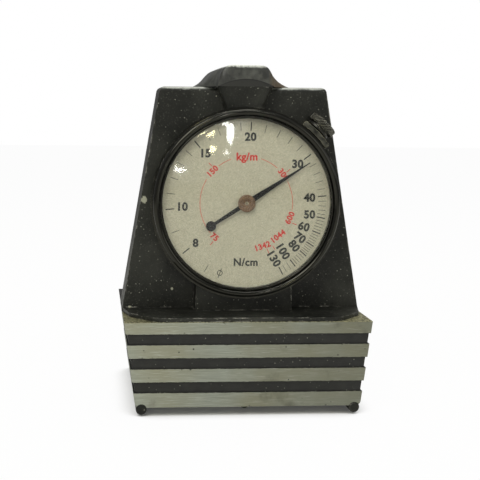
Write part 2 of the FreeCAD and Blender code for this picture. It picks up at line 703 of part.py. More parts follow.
def dial_stack():
    """The dial face and the spacer that holds it off the glass: both turn with the bezel."""
    bore, sides = size("bezel_bore / 2"), int(size("glass_sides"))
    hole, lip = size("hub_diameter / 4"), size("window_diameter / 2")
    front, back, glass = size("dial_front"), size("dial_back"), size("glass_y + glass_edge")
    freeform("dial_face", flat_sided([(hole, front), (bore, front), (bore, back), (hole, back)], sides))
    freeform("glass_spacer", flat_sided([(lip, glass), (bore, glass), (bore, front), (lip, front)], sides))


def drive_place():
    """The drive arbor's place: beside the rack, and a gear's mesh distance under the centre."""
    reach = size("gear_module * (gear_teeth + pinion_teeth) / 2")
    x = size("spindle_diameter / 4") + size("rack_pitch * rack_teeth") / (2 * math.pi)
    return -x, -math.sqrt(reach * reach - x * x)


def drive_angle():
    """Clock angle of the drive arbor about the centre."""
    x, z = drive_place()
    return math.degrees(math.atan2(x, z))


def spur_gear(module, teeth, thickness, bore, x, station, z, phase):
    """A small spur gear with straight-sided teeth and working backlash: its shares are of the module and pitch."""
    radius = module * teeth / 2
    tip, root = radius + 0.7 * module, radius - 1.15 * module
    gear = toothed(star(tip, root, teeth, 0.17, 0.58, phase), bore, thickness)
    gear.translate(V(x, station, size("dial_z") + z))
    return gear


def rod(radius, start, end, x, z):
    return Part.makeCylinder(radius, end - start, V(x, start, size("dial_z") + z), V(0, 1, 0))


def gear_train():
    """The rack's arbor with its wheel, the pointer's pinion, and the take-up wheel with its hairspring."""
    module, teeth, few = size("gear_module"), int(size("gear_teeth")), int(size("pinion_teeth"))
    thick, thin = size("gear_thickness"), size("arbor_diameter / 2")
    low, high = size("plate_y + plate_clear"), size("plate_y + bridge_setback + plate_thickness - plate_clear")
    wheel_y = size("plate_y + wheel_setback")
    x, z = drive_place()
    aim = drive_angle()
    freeform("drive_wheel", spur_gear(module, teeth, thick, thin, x, wheel_y, z, aim + 180 + 180 / teeth))
    freeform("drive_arbor", rod(thin, low, size("floor_y - plate_clear"), x, z))
    rack_face, pinion_face = size("rack_face"), size("pinion_face")
    freeform("rack_pinion", spur_gear(size("rack_pitch") / math.pi, int(size("rack_teeth")), rack_face, thin, x,
                                      size("spindle_y") - rack_face / 2, z, 90))
    freeform("centre_pinion", spur_gear(module, few, pinion_face, thin, 0, wheel_y - (pinion_face - thick) / 2, 0,
                                        aim))
    freeform("centre_arbor", rod(thin, size("dial_front - arbor_reach"), high, 0, 0))
    side = size("take_up_angle")
    share = ((side - aim) / (360 / few)) % 1
    across, up = take_up_place()
    freeform("take_up_wheel", spur_gear(module, teeth, thick, thin, across, wheel_y, up,
                                        side + 180 + (share + 0.5) * 360 / teeth))
    freeform("take_up_arbor", rod(thin, low, high, across, up))
    spring_y = wheel_y + size("spring_rise")
    freeform("hairspring", hairspring(across, up, spring_y, thin))
    freeform("hairspring_stud", rod(size("stud_diameter / 2"), spring_y, size("plate_y + bridge_setback"),
                                    across + size("stud_reach"), up))


def take_up_place():
    """The take-up arbor's place about the centre, a gear's mesh distance away."""
    reach = size("gear_module * (gear_teeth + pinion_teeth) / 2")
    turn = math.radians(size("take_up_angle"))
    return reach * math.sin(turn), reach * math.cos(turn)


def hairspring(x, z, station, start):
    """A flat spiral strip from the arbor outwards."""
    inner, outer = [], []
    steps = 12
    strip, rounds = size("hair_strip"), int(size("hair_turns"))
    for n in range(rounds * steps + 1):
        turn = 2 * math.pi * n / steps
        radius = start + size("fit") / 2 + size("hair_pitch") * n / steps
        inner.append(V(radius * math.cos(turn), 0, radius * math.sin(turn)))
        outer.append(V((radius + strip) * math.cos(turn), 0, (radius + strip) * math.sin(turn)))
    loop = inner + outer[::-1]
    coil = Part.Face(Part.makePolygon(loop + loop[:1])).extrude(V(0, size("hair_width"), 0))
    coil.translate(V(x, station, size("dial_z") + z))
    return coil


PILLARS = [(side_x, side_z) for side_x in ("-", "") for side_z in ("-", "")]


def plate(label, front, holes, pillar_radius):
    """A brass plate across the dial's axis, with holes for pillars and arbors."""
    body = new_body(label)
    draw = new_sketch(body, "XZ_Plane", "-(%s) - plate_thickness" % front)
    draw_outline(draw, box_outline("plate_half", "-plate_half", "plate_half"))
    pad(body, draw, "plate_thickness")
    round_edges(body, lambda at, edge: abs(edge.Length - size("plate_thickness")) < 0.01, "plate_corner",
                "PartDesign::Chamfer")
    if pillar_radius:
        drill = new_sketch(body, "XZ_Plane", "-(%s)" % front)
        for side_x, side_z in PILLARS:
            draw_circle(drill, side_x + "pillar_offset", side_z + "pillar_offset", pillar_radius)
        pocket(body, drill, "plate_thickness")
    drill = new_sketch(body, "XZ_Plane", "-(%s)" % front)
    for x, z in holes:
        draw_circle(drill, "%.4f" % x, "%.4f" % z, "arbor_diameter / 2 + fit")
    pocket(body, drill, "plate_thickness")
    place(body, "0", "0", "dial_z")


def movement_frame():
    """Three plates on four pillars carry the arbors inside the case."""
    arbors = [(0, 0), drive_place(), take_up_place()]
    plate("front_plate", "plate_y", arbors, "small_screw / 2")
    plate("bridge_plate", "plate_y + bridge_setback", arbors, "pillar_diameter / 2")
    plate("back_plate", "floor_y - plate_thickness", [drive_place()], "")
    pillars = []
    screws = []
    for n, (side_x, side_z) in enumerate(PILLARS):
        x, z = side_x + "pillar_offset", "dial_z + " + side_z + "pillar_offset"
        pillars.append(prism("pillar_%d" % n, 12, "pillar_diameter / 2",
                             "floor_y - plate_y - 2 * plate_thickness", "y", x, "plate_y + plate_thickness", z))
        screw = doc.addObject("Part::Fuse", "small_screw_%d" % n)
        screw.Base = prism("small_head_%d" % n, 6, "small_screw", "small_head", "y", x, "plate_y - small_head", z)
        screw.Tool = prism("small_shank_%d" % n, 12, "small_screw / 2", "plate_thickness + small_head", "y", x,
                           "plate_y - small_head", z)
        screws.append(screw)
    combine("movement_pillars", "Part::Compound", *pillars)
    combine("movement_screws", "Part::Compound", *screws)
    guide = doc.addObject("Part::Box", "guide_block")
    bind(guide, Length="guide_width", Width="floor_y - plate_y - bridge_setback - 2 * plate_thickness",
         Height="guide_height")
    place(guide, "-guide_width / 2", "plate_y + bridge_setback + plate_thickness", "dial_z + guide_rise")
    hole = cylinder("guide_hole", "spindle_diameter / 2 + fit", "guide_height", "z", "0", "spindle_y",
                    "dial_z + guide_rise")
    combine("spindle_guide", "Part::Cut", guide, hole)


def spindle():
    """The sliding spindle, with a rack of square-cut teeth beside the drive arbor."""
    radius = size("spindle_diameter / 2")
    low, high = size("carrier_top"), size("dial_z + spindle_rise")
    back = size("spindle_y")
    bar = Part.makeCylinder(radius, high - low, V(0, back, low), V(0, 0, 1))
    pitch = size("rack_pitch")
    line = size("spindle_diameter / 4")
    tip, root = line + 0.22 * pitch, line - 0.37 * pitch
    middle = size("dial_z") + drive_place()[1]
    outline = [V(-radius - 1, back - radius - 1, middle - 9 * pitch)]
    for n in range(-9, 9):
        foot = middle + (n + 0.5) * pitch
        for x, rise in ((root, -0.29), (tip, -0.085), (tip, 0.085), (root, 0.29)):
            outline.append(V(-x, back - radius - 1, foot + rise * pitch))
    outline.append(V(-radius - 1, back - radius - 1, middle + 9 * pitch))
    outline[0].z = outline[1].z
    outline[-1].z = outline[-2].z
    cutter = Part.Face(Part.makePolygon(outline + outline[:1])).extrude(V(0, 2 * radius + 2, 0))
    freeform("spindle", bar.cut(cutter))


def pointer():
    """The black hand with its counterweight disc, pressed on the centre arbor under a copper hub."""
    body = new_body("pointer")
    level = "hub_height - 2 * pointer_sheet - dial_front"
    draw = new_sketch(body, "XZ_Plane", level)
    draw_outline(draw, mirrored([("pointer_waist / 2", "-pointer_tail"), ("pointer_waist * 0.75", "-hub_diameter / 2"),
                                 ("pointer_waist", "hub_diameter / 2"), ("pointer_tip / 2", "pointer_radius")]))
    pad(body, draw, "pointer_sheet")
    disc = new_sketch(body, "XZ_Plane", level)
    draw_circle(disc, "0", "-pointer_tail", "tail_diameter / 2")
    pad(body, disc, "pointer_sheet")
    bore = new_sketch(body, "XZ_Plane", level + " + pointer_sheet")
    draw_circle(bore, "0", "0", "arbor_diameter / 2")
    pocket(body, bore, "pointer_sheet")
    body.Placement = FreeCAD.Placement(V(0, 0, 0), FreeCAD.Rotation(V(0, 1, 0), size("pointer_angle")))
    place(body, "0", "0", "dial_z")
    collar = new_body("pointer_hub")
    draw = new_sketch(collar, "XY_Plane")
    draw_outline(draw, [("arbor_diameter / 2", "dial_front - hub_height - pointer_sheet"),
                        ("hub_diameter / 2 - pointer_sheet", "dial_front - hub_height - pointer_sheet"),
                        ("hub_diameter / 2", "dial_front - hub_height"),
                        ("hub_diameter / 2", "dial_front - hub_height + pointer_sheet"),
                        ("arbor_diameter / 2", "dial_front - hub_height + pointer_sheet")])
    revolve(collar, draw)
    place(collar, "0", "0", "dial_z")


def clamp():
    """The bezel clamp: a boss on the case, a curved shoe over the coin edge and a knurled screw."""
    station = size("bezel_back + clamp_setback")
    outward = around(1, 0, size("clamp_angle")) - around(0, 0, 0)
    centre = V(0, station, size("dial_z"))
    case, shank = size("case_diameter / 2"), size("clamp_screw / 2")
    near, thick = size("shoe_radius"), size("shoe_thickness")
    collar, head = size("knob_radius"), size("knob_length")

    def post(radius, start, end):
        return Part.makeCylinder(radius, end - start, centre + outward * start, outward)

    def drum(radius, front, back):
        return Part.makeCylinder(radius, back - front, V(0, front, size("dial_z")), V(0, 1, 0))

    front, back = size("bezel_back - knurl_band"), station + size("knob_diameter / 2")
    gap = size("clamp_gap")
    boss = post(size("clamp_boss / 2"), case - size("case_wall"), near - gap)
    boss = boss.cut(drum(case, size("case_y"), size("case_back"))).common(drum(near, size("case_y"), back))
    freeform("clamp_boss", boss.cut(post(shank, case - size("case_wall"), near)))
    arc = drum(near + thick, front, back - size("shoe_setback")).cut(drum(near, front, back))
    long, deep = size("shoe_length"), size("shoe_depth")
    block = Part.makeBox(long, deep, deep, V(-long / 2, back - size("shoe_setback") - deep, 0))
    upright = [edge for edge in block.Edges if abs(edge.CenterOfMass.z - deep / 2) < 0.01]
    block = block.makeFillet(thick, upright)
    block.translate(V(0, 0, near - deep / 2))
    block.rotate(V(0, 0, 0), V(0, 1, 0), size("clamp_angle"))
    block.translate(V(0, 0, size("dial_z")))
    freeform("clamp_shoe", arc.common(block).cut(post(shank + 2 * size("fit"), case, near + deep)))
    count, rim = int(size("knob_teeth")), size("knob_diameter / 2")
    ribs = []
    for n in range(2 * count):
        turn = math.pi * n / count
        reach = rim if n % 2 else rim - size("knurl_depth")
        ribs.append(V(reach * math.sin(turn), 0, reach * math.cos(turn)))
    teeth = toothed(Part.makePolygon(ribs + ribs[:1]), shank, head)
    teeth.rotate(V(0, 0, 0), V(1, 0, 0), 90)
    teeth.rotate(V(0, 0, 0), V(0, 1, 0), size("clamp_angle"))
    teeth.translate(centre + outward * collar)
    stalk = post(shank, case + gap / 2, collar + head).fuse(post(size("collar_diameter / 2"), near + thick + gap,
                                                                 collar))
    freeform("clamp_knob", teeth.fuse(stalk).removeSplitter())


def build():
    base_block()
    base_screws()
    rails()
    bar_group()
    load_springs()
    front_housing()
    rear_housing()
    housing_screws()
    top_ridge()
    ridge_screws()
    indicator_case()
    stem()
    bezel_ring()
    crystal()
    dial_stack()
    movement_frame()
    gear_train()
    spindle()
    pointer()
    clamp()
    doc.recompute()


NODES = ("base_block base_screws support_rail_left support_rail_right measuring_bar bar_carrier guide_pins "
         "guide_bushings load_springs front_housing rear_housing housing_screws top_ridge ridge_screws "
         "indicator_case stem bezel_ring crystal dial_face glass_spacer front_plate bridge_plate back_plate "
         "movement_pillars movement_screws spindle_guide drive_wheel drive_arbor rack_pinion centre_pinion "
         "centre_arbor take_up_wheel take_up_arbor hairspring hairspring_stud spindle pointer pointer_hub "
         "clamp_boss clamp_shoe clamp_knob").split()


def write_parts():
    """Every piece must be sound before any file is written."""
    faults = [item.Label for item in doc.Objects if "Invalid" in item.State or "Error" in item.State]
    pieces = {item.Label: item for item in doc.Objects if item.Label in NODES}
    for label in NODES:
        shape = pieces[label].Shape
        if shape.isNull() or not shape.isValid() or not shape.Solids:
            faults.append(label + " has no sound shape")
    if faults:
        raise RuntimeError("faults: " + ", ".join(faults))
    os.makedirs("parts", exist_ok=True)
    for label in NODES:
        pieces[label].Shape.exportStep("parts/%s.step" % label)
        print(label, len(pieces[label].Shape.Solids), round(pieces[label].Shape.Volume, 2))


build()
write_parts()
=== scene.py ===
import bpy
import math
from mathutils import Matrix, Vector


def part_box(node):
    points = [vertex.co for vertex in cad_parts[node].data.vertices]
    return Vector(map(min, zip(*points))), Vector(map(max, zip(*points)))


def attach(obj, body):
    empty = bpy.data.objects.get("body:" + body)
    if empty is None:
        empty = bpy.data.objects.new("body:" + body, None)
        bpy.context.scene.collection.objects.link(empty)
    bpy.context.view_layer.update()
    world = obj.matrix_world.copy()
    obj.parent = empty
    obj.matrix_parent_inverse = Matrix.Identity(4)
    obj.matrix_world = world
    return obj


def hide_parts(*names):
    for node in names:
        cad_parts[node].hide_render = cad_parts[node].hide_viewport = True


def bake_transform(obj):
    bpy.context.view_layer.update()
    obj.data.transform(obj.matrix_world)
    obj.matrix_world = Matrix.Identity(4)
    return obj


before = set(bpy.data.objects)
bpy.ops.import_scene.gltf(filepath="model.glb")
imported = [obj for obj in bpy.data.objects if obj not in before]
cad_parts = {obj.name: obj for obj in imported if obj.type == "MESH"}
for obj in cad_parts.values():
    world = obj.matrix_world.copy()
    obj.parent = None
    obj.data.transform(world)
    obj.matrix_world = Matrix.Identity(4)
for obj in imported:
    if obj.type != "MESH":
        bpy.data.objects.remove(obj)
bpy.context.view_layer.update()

scene = bpy.context.scene
scene.view_settings.view_transform = "Standard"

# The camera stands left of the meter, level with its crown, and looks a little right and down.
# The picture is cropped off centre, which the small shift stands for.
bpy.ops.object.camera_add(location=(-0.046, -0.3255, 0.086))
camera = bpy.context.object
camera.rotation_euler = (math.radians(90 - 3.485), math.radians(-0.486), math.radians(-4.216))
camera.data.lens = 77.94
camera.data.shift_x = 0.15
camera.data.shift_y = -0.12
camera.data.clip_start = 0.01
scene.camera = camera


# The table top is a plain pale sheet under a white surround. It keeps the meter's shadow, deepest in the gap
# under the block. To the eye both are white, through glass the surround is too, and only the lamps and a grey
# sky light the meter.
def finish_of(name, colour, rough, metal=0.0):
    """A new finish with its Principled shader's plain values set: the material, its shader and its nodes."""
    material = bpy.data.materials.new(name)
    material.use_nodes = True
    shader = material.node_tree.nodes["Principled BSDF"]
    shader.inputs["Base Color"].default_value = (*colour, 1)
    shader.inputs["Roughness"].default_value = rough
    shader.inputs["Metallic"].default_value = metal
    return material, shader, material.node_tree


def fill(node, socket, value):
    """A socket takes another node's output, or else a plain colour or number."""
    if isinstance(value, bpy.types.NodeSocket):
        node.id_data.links.new(value, socket)
    elif socket.type == "RGBA":
        socket.default_value = (*value, 1)
    else:
        socket.default_value = value


def feed(node, **sockets):
    """Sockets filled by name, underscores for spaces."""
    for name, value in sockets.items():
        fill(node, node.inputs[name.replace("_", " ")], value)


def add_node(tree, kind, *in_order, **by_name):
    """A node whose first sockets are filled in their order, and others by name."""
    made = tree.nodes.new(kind)
    for socket, value in zip(made.inputs, in_order):
        fill(made, socket, value)
    feed(made, **by_name)
    return made


def maths(tree, operation, *values):
    """A Math node's result."""
    made = add_node(tree, "ShaderNodeMath", *values)
    made.operation = operation
    return made.outputs[0]


def between(tree, value, low, high, to_low=0.0, to_high=1.0):
    """A value that goes from one level to another while the given one does, and stays at its ends."""
    return add_node(tree, "ShaderNodeMapRange", Value=value, From_Min=low, From_Max=high, To_Min=to_low,
                    To_Max=to_high).outputs[0]


GAP_REACH = 0.012
bpy.ops.mesh.primitive_plane_add(size=6, location=(0, 0, 0))
table_top = bpy.context.object
table_top.name = "table_top"
paper, paper_shader, paper_tree = finish_of("pale_paper", (0.82, 0.82, 0.8), 0.9)
paper_light = add_node(paper_tree, "ShaderNodeEmission", Strength=1.0)
paper_path = add_node(paper_tree, "ShaderNodeLightPath")
# the shade in the gap under the block is painted in: ambient occlusion dims the table top's glow where the
# camera sees it
paper_gap_shade = add_node(paper_tree, "ShaderNodeAmbientOcclusion", Distance=GAP_REACH)
paper_glow_with_painted_shade = between(paper_tree, paper_gap_shade.outputs["AO"], 0.25, 0.7, 0.05, 0.965)
paper_seen = maths(paper_tree, "MULTIPLY", paper_path.outputs["Is Camera Ray"], paper_glow_with_painted_shade)
paper_mix = add_node(paper_tree, "ShaderNodeMixShader", paper_seen, paper_shader.outputs[0],
                     paper_light.outputs[0])
feed(paper_tree.nodes["Material Output"], Surface=paper_mix.outputs[0])
table_top.data.materials.append(paper)

SKY_LIGHT = 0.27
world = bpy.data.worlds.new("white_surround")
scene.world = world
world.use_nodes = True
sky_tree = world.node_tree
sky_path = add_node(sky_tree, "ShaderNodeLightPath")
sky_seen = maths(sky_tree, "MAXIMUM", sky_path.outputs["Is Camera Ray"],
                 sky_path.outputs["Is Transmission Ray"])
feed(sky_tree.nodes["Background"], Color=(1, 1, 1),
     Strength=between(sky_tree, sky_seen, 0.0, 1.0, SKY_LIGHT, 1.0))


# Lamps: three soft ones stand round the meter, and a long narrow strip overhead draws the bright line
# along the top of the bezel's bead. All look at the middle of the table.
def area_lamp(place, power, shape, wide, tall, colour):
    bpy.ops.object.light_add(type="AREA", location=place)
    lamp = bpy.context.object
    lamp.data.shape = shape
    lamp.data.size = wide
    lamp.data.size_y = tall
    lamp.data.energy = power
    lamp.data.color = colour
    lamp.rotation_euler = (-lamp.location).to_track_quat("-Z", "Y").to_euler()
    return lamp


WARM_LIGHT, YELLOW_LIGHT, WHITE_LIGHT = (1.0, 0.99, 0.9), (1.0, 0.95, 0.62), (1.0, 1.0, 1.0)
area_lamp((-0.35, -0.55, 0.55), 2.1, "SQUARE", 0.35, 0.35, WARM_LIGHT)
area_lamp((0.55, -0.4, 0.35), 0.7, "SQUARE", 0.4, 0.4, WARM_LIGHT)
area_lamp((0.05, 0.25, 0.75), 2.1, "SQUARE", 0.3, 0.3, WARM_LIGHT)
area_lamp((-0.06, -0.32, 0.66), 1.3, "RECTANGLE", 0.75, 0.022, WHITE_LIGHT)

# small bright panels far in front, which the domed window mirrors at its upper left:
# place, width, height, power and colour of each
PANELS = (((0.019, -0.913, 0.207), 0.034, 0.04, 0.11, YELLOW_LIGHT),
          ((0.081, -0.91, 0.206), 0.022, 0.085, 0.16, WHITE_LIGHT),
          ((0.028, -0.919, 0.152), 0.021, 0.023, 0.035, YELLOW_LIGHT),
          ((0.070, -0.917, 0.142), 0.018, 0.011, 0.008, WHITE_LIGHT),
          ((-0.079, -0.921, 0.089), 0.062, 0.011, 0.05, WHITE_LIGHT))
for panel_place, panel_wide, panel_tall, panel_power, panel_colour in PANELS:
    panel = area_lamp(panel_place, panel_power, "ELLIPSE", panel_wide, panel_tall, panel_colour)
    panel.rotation_euler = (math.radians(90), 0, 0)


# Castings: front and rear housing are zinc castings, sprayed black. Dust and small chips show as pale
# specks, edges have rubbed through to grey metal, and a few flakes have come off.
def group_of(name, **inputs):
    """A node group that gives a mask, with named inputs and their usual values."""
    group = bpy.data.node_groups.new(name, "ShaderNodeTree")
    for label, value in inputs.items():
        socket = group.interface.new_socket(label, in_out="INPUT", socket_type="NodeSocketFloat")
        socket.default_value = value
    group.interface.new_socket("Mask", in_out="OUTPUT", socket_type="NodeSocketFloat")
    return group, group.nodes.new("NodeGroupInput").outputs, group.nodes.new("NodeGroupOutput")


def place_on(tree):
    """Where a point lies on the piece."""
    return add_node(tree, "ShaderNodeTexCoord").outputs["Object"]


def parts_of_place(tree):
    """The same, in its three parts."""
    return add_node(tree, "ShaderNodeSeparateXYZ", place_on(tree)).outputs


def vectors(tree, operation, *values):
    """A Vector Math node's number."""
    made = add_node(tree, "ShaderNodeVectorMath", *values)
    made.operation = operation
    return made.outputs["Value"]


def use_group(tree, group, **values):
    """A group's mask on a material."""
    made = tree.nodes.new("ShaderNodeGroup")
    made.node_tree = group
    feed(made, **values)
    return made.outputs[0]


def blend_colours(tree, mask, low, high):
    """One colour over another by a mask; either may be another node's output."""
    made = tree.nodes.new("ShaderNodeMix")
    made.data_type = "RGBA"
    feed(made, Factor=mask)
    fill(made, made.inputs[6], low)
    fill(made, made.inputs[7], high)
    return made.outputs[2]


def noise_of(tree, scale, detail=4.0, stretch=(1, 1, 1)):
    """Cloudy noise, drawn out along an axis where its stretch is small."""
    spread = add_node(tree, "ShaderNodeMapping", Vector=place_on(tree), Scale=stretch)
    return add_node(tree, "ShaderNodeTexNoise", Vector=spread.outputs[0], Scale=scale, Detail=detail,
                    Roughness=0.6).outputs[0]


def clouds(tree, scale, low, high, detail=4.0, stretch=(1, 1, 1)):
    """A mask of patches, where the noise goes from one level to another."""
    return between(tree, noise_of(tree, scale, detail, stretch), low, high)


def bumpy(shader, height, strength, distance):
    """Small unevenness of the surface, by a height."""
    bump = add_node(shader.id_data, "ShaderNodeBump", Height=height, Strength=strength, Distance=distance)
    feed(shader, Normal=bump.outputs[0])


def cover(names, material):
    """The finish takes the place of whatever the CAD nodes came with."""
    for name in names:
        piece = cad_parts[name]
        piece.data.materials.clear()
        piece.data.materials.append(material)


# rubbed edges: where a rounded normal leaves the true one, broken up by noise
edge_group, edge_in, edge_out = group_of("rubbed_edges", Width=0.0006, Amount=0.5, Scale=250)
edge_soft = add_node(edge_group, "ShaderNodeBevel", Radius=edge_in["Width"])
edge_soft.samples = 6
edge_true = add_node(edge_group, "ShaderNodeNewGeometry")
edge_turned = vectors(edge_group, "DOT_PRODUCT", edge_soft.outputs[0], edge_true.outputs["True Normal"])
edge_noise = add_node(edge_group, "ShaderNodeTexNoise", Vector=place_on(edge_group), Scale=edge_in["Scale"],
                      Detail=6.0, Roughness=0.65)
edge_near = between(edge_group, edge_turned, 0.995, 0.86, 0.0, 0.5)
edge_sum = maths(edge_group, "ADD", maths(edge_group, "ADD", edge_near, edge_noise.outputs[0]),
                 edge_in["Amount"])
edge_mask = maths(edge_group, "MULTIPLY", between(edge_group, edge_sum, 1.22, 1.34),
                  maths(edge_group, "GREATER_THAN", edge_near, 0.03))
feed(edge_out, Mask=edge_mask)

# specks: scattered small dots of dust and chips, some paler than others; the turned pattern keeps its
# cells off the castings' flat faces
speck_group, speck_in, speck_out = group_of("specks", Scale=900, Size=0.16, Share=0.3)
speck_place = add_node(speck_group, "ShaderNodeMapping", Vector=place_on(speck_group),
                       Rotation=(0.6, 0.4, 0.9))
speck_cells = add_node(speck_group, "ShaderNodeTexVoronoi", Vector=speck_place.outputs[0],
                       Scale=speck_in["Scale"])
speck_dots = maths(speck_group, "LESS_THAN", speck_cells.outputs["Distance"], speck_in["Size"])
speck_pick = add_node(speck_group, "ShaderNodeSeparateColor", speck_cells.outputs["Color"]).outputs
speck_some = maths(speck_group, "LESS_THAN", speck_pick[0], speck_in["Share"])
speck_pale = between(speck_group, speck_pick[1], 0.0, 1.0, 0.1, 0.9)
speck_mask = maths(speck_group, "MULTIPLY", maths(speck_group, "MULTIPLY", speck_dots, speck_some),
                   speck_pale)
feed(speck_out, Mask=speck_mask)

PAINT_BLACK = (0.0105, 0.011, 0.0085)
PAINT_GREY = (0.036, 0.037, 0.030)
GRAIN_GREY = (0.07, 0.07, 0.058)
SPECK_PALE = (0.34, 0.34, 0.28)
RUBBED_METAL = (0.34, 0.33, 0.29)
RUBBED_AND_LIT_CROWN = (0.50, 0.52, 0.48)
FLAKED = (0.42, 0.42, 0.32)
# the housing's face, its crown, and half of the column over the dial
FACE = -0.012
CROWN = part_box("front_housing")[1].z
COLUMN_HALF = 0.0084
# place and size of each flake that has come off
FLAKES = (((-0.0299, -0.0119, 0.0615), 0.00095), ((-0.0340, -0.0120, 0.0288), 0.00045),
          ((0.0128, -0.0179, 0.0278), 0.0004), ((-0.0212, -0.0120, 0.0344), 0.00035),
          ((-0.0083, -0.0121, 0.0931), 0.0003))


def sprayed_paint(name, wear, width, specks=0.3, rough=0.42, worn_and_lit_crown=False, flakes=()):
    """Black paint with dust, specks and rubbed edges. On a worn and lit crown the front edge beside the column
    is pale, partly rubbed through and partly a painted highlight, and a flake is missing at each of the flakes."""
    material, shader, tree = finish_of(name, PAINT_BLACK, rough)
    dusty = blend_colours(tree, clouds(tree, 55, 0.42, 0.75), PAINT_BLACK, PAINT_GREY)
    grainy = blend_colours(tree, clouds(tree, 2300, 0.58, 0.82, 2.0), dusty, GRAIN_GREY)
    dots = use_group(tree, speck_group, Scale=1150, Size=0.18, Share=specks)
    dotted = blend_colours(tree, dots, grainy, SPECK_PALE)
    rubbed = use_group(tree, edge_group, Width=width, Amount=wear, Scale=320)
    worn = blend_colours(tree, rubbed, dotted, RUBBED_METAL)
    if worn_and_lit_crown:
        # the crown's pale front edge is partly rubbed metal and partly a painted highlight
        place = parts_of_place(tree)
        level = maths(tree, "ADD", place[2], maths(tree, "MULTIPLY", noise_of(tree, 260, 5.0), 0.0016))
        aside = maths(tree, "ABSOLUTE", place[0])
        on_top = maths(tree, "MULTIPLY", between(tree, level, CROWN, CROWN + 0.0006),
                       between(tree, aside, COLUMN_HALF - 0.0002, COLUMN_HALF + 0.0002))
        in_front = maths(tree, "MULTIPLY", on_top, between(tree, place[1], FACE + 0.0018, FACE + 0.0006))
        worn = blend_colours(tree, in_front, worn, RUBBED_AND_LIT_CROWN)
    ragged = noise_of(tree, 800, 2.0)
    for flake, wide in flakes:
        far = vectors(tree, "DISTANCE", place_on(tree), flake)
        edge = maths(tree, "MULTIPLY_ADD", ragged, 2.6 * wide, far)
        worn = blend_colours(tree, between(tree, edge, 2.3 * wide, 2.15 * wide), worn, FLAKED)
    feed(shader, Base_Color=worn,
         Roughness=between(tree, noise_of(tree, 180), 0.3, 0.7, rough - 0.1, rough + 0.16))
    shader.inputs["Specular IOR Level"].default_value = 0.26
    bumpy(shader, noise_of(tree, 1300, 3.0), 0.28, 0.0002)
    return material


casting_paint = sprayed_paint("casting_paint", 0.22, 0.0009, worn_and_lit_crown=True, flakes=FLAKES)
cover(("front_housing", "rear_housing", "indicator_case"), casting_paint)


# Top ridge: a loaf-shaped casting that a hand presses on, screwed to both housings. Its top is ground flat
# and bare, its flanks are painted and stained with rust towards the right, and its nose runs into the column.
def nothing_selected():
    """Object mode, with no piece selected."""
    if bpy.context.mode != "OBJECT":
        bpy.ops.object.mode_set(mode="OBJECT")
    bpy.ops.object.select_all(action="DESELECT")


def close_up(open_ends=False):
    """On the active piece, open ends are filled or else doubled corners merged, and faces turned outwards."""
    bpy.ops.object.mode_set(mode="EDIT")
    bpy.ops.mesh.select_all(action="SELECT")
    if open_ends:
        bpy.ops.mesh.fill_holes(sides=0)
    else:
        bpy.ops.mesh.remove_doubles(threshold=0.000002)
    bpy.ops.mesh.normals_make_consistent(inside=False)
    bpy.ops.object.mode_set(mode="OBJECT")


def smooth(piece, degrees):
    """Smooth shading, but for edges sharper than the angle."""
    nothing_selected()
    piece.select_set(True)
    bpy.context.view_layer.objects.active = piece
    bpy.ops.object.shade_smooth_by_angle(angle=math.radians(degrees))


RUST_FROM, RUST_FULL = 0.0066, 0.0086
ARCH_BEND, ARCH_RISE, SEAM_SHADE_HALF = 32.0, 0.0021, 0.00016
ridge_low, ridge_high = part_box("top_ridge")
ridge_metal, ridge_shader, ridge_tree = finish_of("ridge_ground_metal", PAINT_BLACK, 0.4)
ridge_place = parts_of_place(ridge_tree)
ridge_grime = noise_of(ridge_tree, 420, 6.0)
ridge_level = maths(ridge_tree, "ADD", ridge_place[2], maths(ridge_tree, "MULTIPLY", ridge_grime, 0.0016))
ridge_bare = between(ridge_tree, ridge_level, ridge_high.z - 0.0001, ridge_high.z + 0.0004)
ridge_ground = blend_colours(ridge_tree, clouds(ridge_tree, 600, 0.35, 0.7, 5.0, (4, 0.3, 1)),
                             (0.30, 0.31, 0.28), (0.66, 0.68, 0.62))
ridge_flank = blend_colours(ridge_tree, clouds(ridge_tree, 260, 0.45, 0.7),
                            (0.022, 0.023, 0.02), (0.075, 0.078, 0.066))
ridge_rusty = blend_colours(ridge_tree, between(ridge_tree, ridge_place[0], RUST_FROM, RUST_FULL), ridge_flank,
                            (0.085, 0.062, 0.036))
# the seam where the ridge meets the column is a low arch, drawn as a thin line of painted shade; under it the
# nose is painted like the castings
ridge_arch = maths(ridge_tree, "MULTIPLY_ADD", maths(ridge_tree, "MULTIPLY", ridge_place[0], ridge_place[0]),
                   ARCH_BEND, ridge_place[2])
ARCH_LEVEL = ridge_low.z + ARCH_RISE
ridge_over = between(ridge_tree, ridge_arch, ARCH_LEVEL - 0.00004, ARCH_LEVEL + 0.00004)
ridge_seam_shade = maths(ridge_tree, "COMPARE", ridge_arch, ARCH_LEVEL, SEAM_SHADE_HALF)
ridge_painted = blend_colours(ridge_tree, ridge_over, PAINT_BLACK, ridge_rusty)
ridge_with_seam_shade = blend_colours(ridge_tree, ridge_seam_shade, ridge_painted, (0.003, 0.003, 0.003))
feed(ridge_shader, Base_Color=blend_colours(ridge_tree, ridge_bare, ridge_with_seam_shade, ridge_ground),
     Metallic=between(ridge_tree, ridge_bare, 0.0, 1.0, 0.0, 0.3))
bumpy(ridge_shader, ridge_grime, 0.35, 0.0003)

# its half section at the wide loaf over the castings, and at the nose over the column: each is a list
# of half widths and heights above the crown, in millimetres
LOAF = ((14.8, 0), (13.6, 0.45), (12.4, 1.05), (11.3, 1.75), (10.4, 2.6), (9.7, 3.45), (9.0, 4.25),
        (8.2, 5.0), (7.3, 5.6), (6.3, 6.0), (5.2, 6.22), (4.0, 6.3))
NOSE = ((8.35, 0), (8.35, 0.7), (8.3, 1.4), (8.2, 2.1), (8.0, 2.9), (7.75, 3.6), (7.4, 4.3), (7.0, 5.0),
        (6.6, 5.5), (6.0, 5.95), (5.2, 6.22), (4.0, 6.3))
